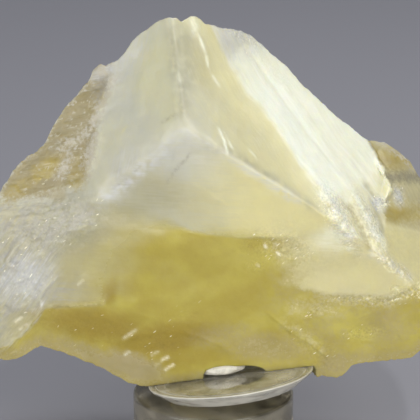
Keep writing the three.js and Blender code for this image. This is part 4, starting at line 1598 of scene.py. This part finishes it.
        # Share of a kind = whole + whole (1 - whole) 4 broken (threads or crumbs), from 0 to 1.
        for zone, finish in FINISHES.items():
            whole = add_node(tree, "Attribute", attribute_name=zone.value).outputs["Fac"]
            rest = add_node(tree, "Math", {0: 1.0, 1: whole}, operation="SUBTRACT")
            edge = add_node(tree, "Math", {0: whole, 1: rest}, operation="MULTIPLY")
            swing = {0: threaded if finish.combed else crumbly, 1: 4 * finish.broken}
            breaking = add_node(tree, "Math", swing, operation="MULTIPLY")
            share = {0: edge, 1: breaking, 2: whole}
            share = add_node(tree, "Math", share, operation="MULTIPLY_ADD", use_clamp=True)
            shades = {"Color1": linear(finish.colour), "Color2": linear(finish.cloud_colour)}
            own = add_node(tree, "MixRGB", {"Fac": clouds, **shades})
            colour = add_node(tree, "MixRGB", {"Fac": share, "Color1": colour, "Color2": own})
            roughness = add_node(tree, "Mix", {0: share, 2: roughness, 3: finish.roughness})

        fibrous, honey, crumbled = (
            add_node(tree, "Attribute", attribute_name=name).outputs["Fac"]
            for name in ("fibrous", Zone.HONEY.value, "crumbled")
        )
        # Fibres about 0.8 mm apart and 14 mm long, lighter and darker.
        combed = add_node(tree, "Mapping", {"Vector": grain, "Scale": (1 / 0.8, 1 / 14, 1 / 4)})
        drawn = {"Vector": combed, "Scale": 1.0, "Detail": 3.0, "Roughness": 0.6}
        fibres = add_node(tree, "TexNoise", drawn)
        centred = add_node(tree, "Math", {0: fibres, 1: 0.5}, operation="SUBTRACT")
        combing = add_node(tree, "Math", {0: centred, 1: fibrous}, operation="MULTIPLY")
        shade = add_node(tree, "Math", {0: combing, 1: 0.55, 2: 1.0}, operation="MULTIPLY_ADD")
        shaded = add_node(tree, "VectorMath", {0: colour, "Scale": shade}, operation="SCALE")
        # Hairline scratches and fibre ends, paler than the stone, where its fibres run straight.
        hairline = add_node(tree, "MapRange", {"Value": threads, "From Min": 0.62, "From Max": 0.72})
        straight = add_node(tree, "Math", {0: fibrous, 1: 5.0}, operation="MULTIPLY", use_clamp=True)
        dull = add_node(tree, "Math", {0: straight, 1: honey}, operation="SUBTRACT", use_clamp=True)
        scratched = add_node(tree, "Math", {0: hairline, 1: dull}, operation="MULTIPLY")
        scratch = add_node(tree, "Math", {0: scratched, 1: 0.18}, operation="MULTIPLY")
        tinted = add_node(tree, "MixRGB", {"Fac": scratch, "Color1": shaded, "Color2": linear("#f4f4ea")})

        speckle = {"Height": pits, "Strength": 0.25, "Distance": 0.1 * MM}
        combed_relief = add_node(tree, "Bump", {"Height": combing, "Strength": 1.0, "Distance": 0.3 * MM})
        relief = add_node(tree, "Bump", {**speckle, "Normal": combed_relief})
        # Crumbled calcite: cleavage rhombs about 0.4 mm across, each a flat mirror with its own tilt.
        rhombs = add_node(tree, "TexVoronoi", {"Vector": place, "Scale": per_mm(0.4)}).outputs["Color"]
        leaning = add_node(tree, "VectorMath", {0: rhombs, 1: middle}, operation="SUBTRACT")
        tilting = add_node(tree, "Math", {0: crumbled, 1: 0.55}, operation="MULTIPLY")
        tilted = add_node(tree, "VectorMath", {0: leaning, "Scale": tilting}, operation="SCALE")
        turned = add_node(tree, "VectorMath", {0: relief, 1: tilted}, operation="ADD")
        # Slivers of cleavage about 1 mm long and 0.3 mm wide, on a wandering slant; where the stone
        # is crumbled up to one in five gets a painted highlight, near-white, for a crack behind it that
        # catches the light.
        bend = add_node(tree, "TexNoise", {"Vector": place, "Scale": per_mm(2.5), "Detail": 1.0})
        about = {0: bend.outputs["Color"], 1: middle}
        about = add_node(tree, "VectorMath", about, operation="SUBTRACT")
        bending = {0: about, 1: (1.6 * MM, 1.6 * MM, 1.6 * MM), 2: place}
        bent = add_node(tree, "VectorMath", bending, operation="MULTIPLY_ADD")
        laid = add_node(tree, "Mapping", {"Vector": bent, "Rotation": (0, math.radians(38), 0)})
        thin = (per_mm(1.0), per_mm(0.7), per_mm(0.3))
        drawn_out = add_node(tree, "Mapping", {"Vector": laid, "Scale": thin})
        slivers = add_node(tree, "TexVoronoi", {"Vector": drawn_out, "Scale": 1.0})
        lot = add_node(tree, "SeparateXYZ", {0: slivers.outputs["Color"]})
        chance = {0: crumbled, 1: 0.2, 2: lot.outputs["X"]}
        chance = add_node(tree, "Math", chance, operation="MULTIPLY_ADD")
        lit = add_node(tree, "MapRange", {"Value": chance, "From Min": 1.0, "From Max": 1.02})
        inner = {"Value": slivers.outputs["Distance"], "From Min": 0.5, "From Max": 0.25}
        shine = {0: lot.outputs["Y"], 1: add_node(tree, "MapRange", inner)}
        shine = add_node(tree, "Math", shine, operation="MULTIPLY")
        glint = add_node(tree, "Math", {0: lit, 1: shine}, operation="MULTIPLY")
        # Between them the crumbs are light and dark grains about half a millimetre across.
        graining = add_node(tree, "Math", {0: gritty, 1: crumbled}, operation="MULTIPLY")
        grain_shade = add_node(tree, "Math", {0: graining, 1: 0.36, 2: 1.0}, operation="MULTIPLY_ADD")
        grained = add_node(tree, "VectorMath", {0: tinted, "Scale": grain_shade}, operation="SCALE")
        # The slivers' painted highlight is a near-white mixed into the colour.
        sparkling = {"Fac": glint, "Color1": grained, "Color2": linear("#fdf9e0")}
        # Light sinks about 2.5 mm into the stone, red the furthest.
        return {
            "Base Color": add_node(tree, "MixRGB", sparkling),
            "Roughness": add_node(tree, "Mix", {0: crumbled, 2: roughness, 3: 0.18}),
            "IOR": 1.6,
            "Subsurface Weight": 0.75,
            "Subsurface Radius": (1.0, 0.85, 0.5),
            "Subsurface Scale": 2.5 * MM,
            "Normal": add_node(tree, "VectorMath", {0: turned}, operation="NORMALIZE"),
        }

    def make(self) -> None:
        """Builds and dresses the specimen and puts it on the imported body."""
        piece = self.build()
        coat(piece, "calcite_natural_cleaved", self.surface)
        take_place(piece, "calcite")


# ---- the studio ------------------------------------------------------------------------------


@dataclass(frozen=True)
class Light:
    """A soft rectangular light aimed at the specimen."""

    name: str
    place: Size
    size: Place
    watts: float
    colour: str


@dataclass
class Studio:
    """Pale floor, soft lights and the camera."""

    form: StoneForm
    distance_mm: float = 480
    view_width_mm: float = 97.9
    sensor_mm: float = 36
    floor_half_m: float = 3
    lights: tuple[Light, ...] = (
        Light("key", (0.5, -0.62, 0.5), (0.5, 0.5), 2.8, "#fffbf3"),
        Light("fill", (-0.7, -0.65, 0.3), (0.6, 0.6), 3.0, "#fafaff"),
        Light("low", (0.05, -0.8, 0.1), (0.7, 0.12), 3.1, "#fffdf6"),
        Light("top", (0.25, 0.3, 0.9), (0.5, 0.4), 2.5, "#ffffff"),
        Light("glint", (0.15, -0.5, 0.8), (0.05, 0.05), 1.2, "#ffffff"),
    )

    def floor(self) -> None:
        """A wide floor of pale matte paper under the stand, which scatters light evenly."""
        corners = np.array([[-1, -1, 0], [1, -1, 0], [1, 1, 0], [-1, 1, 0]])
        made = mesh_object("studio_floor", corners * self.floor_half_m, [[0, 1, 2, 3]])
        coat(made, "studio_paper_matte", lambda tree: {"Base Color": linear("#9f9fa7"), "Roughness": 0.9})

    def light(self, lamp: Light) -> None:
        """Adds one soft light, aimed at the specimen.

        Args:
            lamp: Its place, size, power and colour.
        """
        data = bpy.data.lights.new(lamp.name, "AREA")
        data.shape = "RECTANGLE"
        data.size, data.size_y = lamp.size
        data.energy = lamp.watts
        data.color = linear(lamp.colour)[:3]
        made = bpy.data.objects.new(lamp.name, data)
        made.location = lamp.place
        target = Vector(self.form.origin) * MM
        made.rotation_euler = (target - made.location).to_track_quat("-Z", "Y").to_euler()
        bpy.context.scene.collection.objects.link(made)

    def world(self) -> None:
        """An even grey surround."""
        world = bpy.data.worlds.new("studio_surround")
        world.use_nodes = True
        tree = world.node_tree
        tree.nodes.clear()
        glow = add_node(tree, "Background", {"Color": linear("#e4e6ec"), "Strength": 0.3})
        add_node(tree, "OutputWorld", {"Surface": glow})
        bpy.context.scene.world = world

    def camera(self) -> None:
        """The camera, level from side to side, looking down at the specimen by its lean."""
        lean = math.radians(self.form.lean_deg)
        target = Vector(self.form.origin) * MM
        away = Vector((0, -math.cos(lean), math.sin(lean))) * self.distance_mm * MM
        data = bpy.data.cameras.new("camera")
        data.sensor_width = self.sensor_mm
        data.lens = self.sensor_mm * self.distance_mm / self.view_width_mm
        made = bpy.data.objects.new("camera", data)
        made.location = target + away
        made.rotation_euler = (-away).to_track_quat("-Z", "Y").to_euler()
        bpy.context.scene.collection.objects.link(made)
        bpy.context.scene.camera = made

    def make(self) -> None:
        """Sets up the whole studio."""
        self.floor()
        for lamp in self.lights:
            self.light(lamp)
        self.world()
        self.camera()
        bpy.context.scene.view_settings.view_transform = "Standard"


def main() -> None:
    """Builds every piece and the studio."""
    logging.basicConfig(level=logging.INFO)
    stand = Stand()
    putty = Putty(stand)
    specimen = Calcite(stand, putty)
    for assembly in (stand, putty, specimen, Studio(specimen.form)):
        assembly.make()


if __name__ == "__main__":
    main()
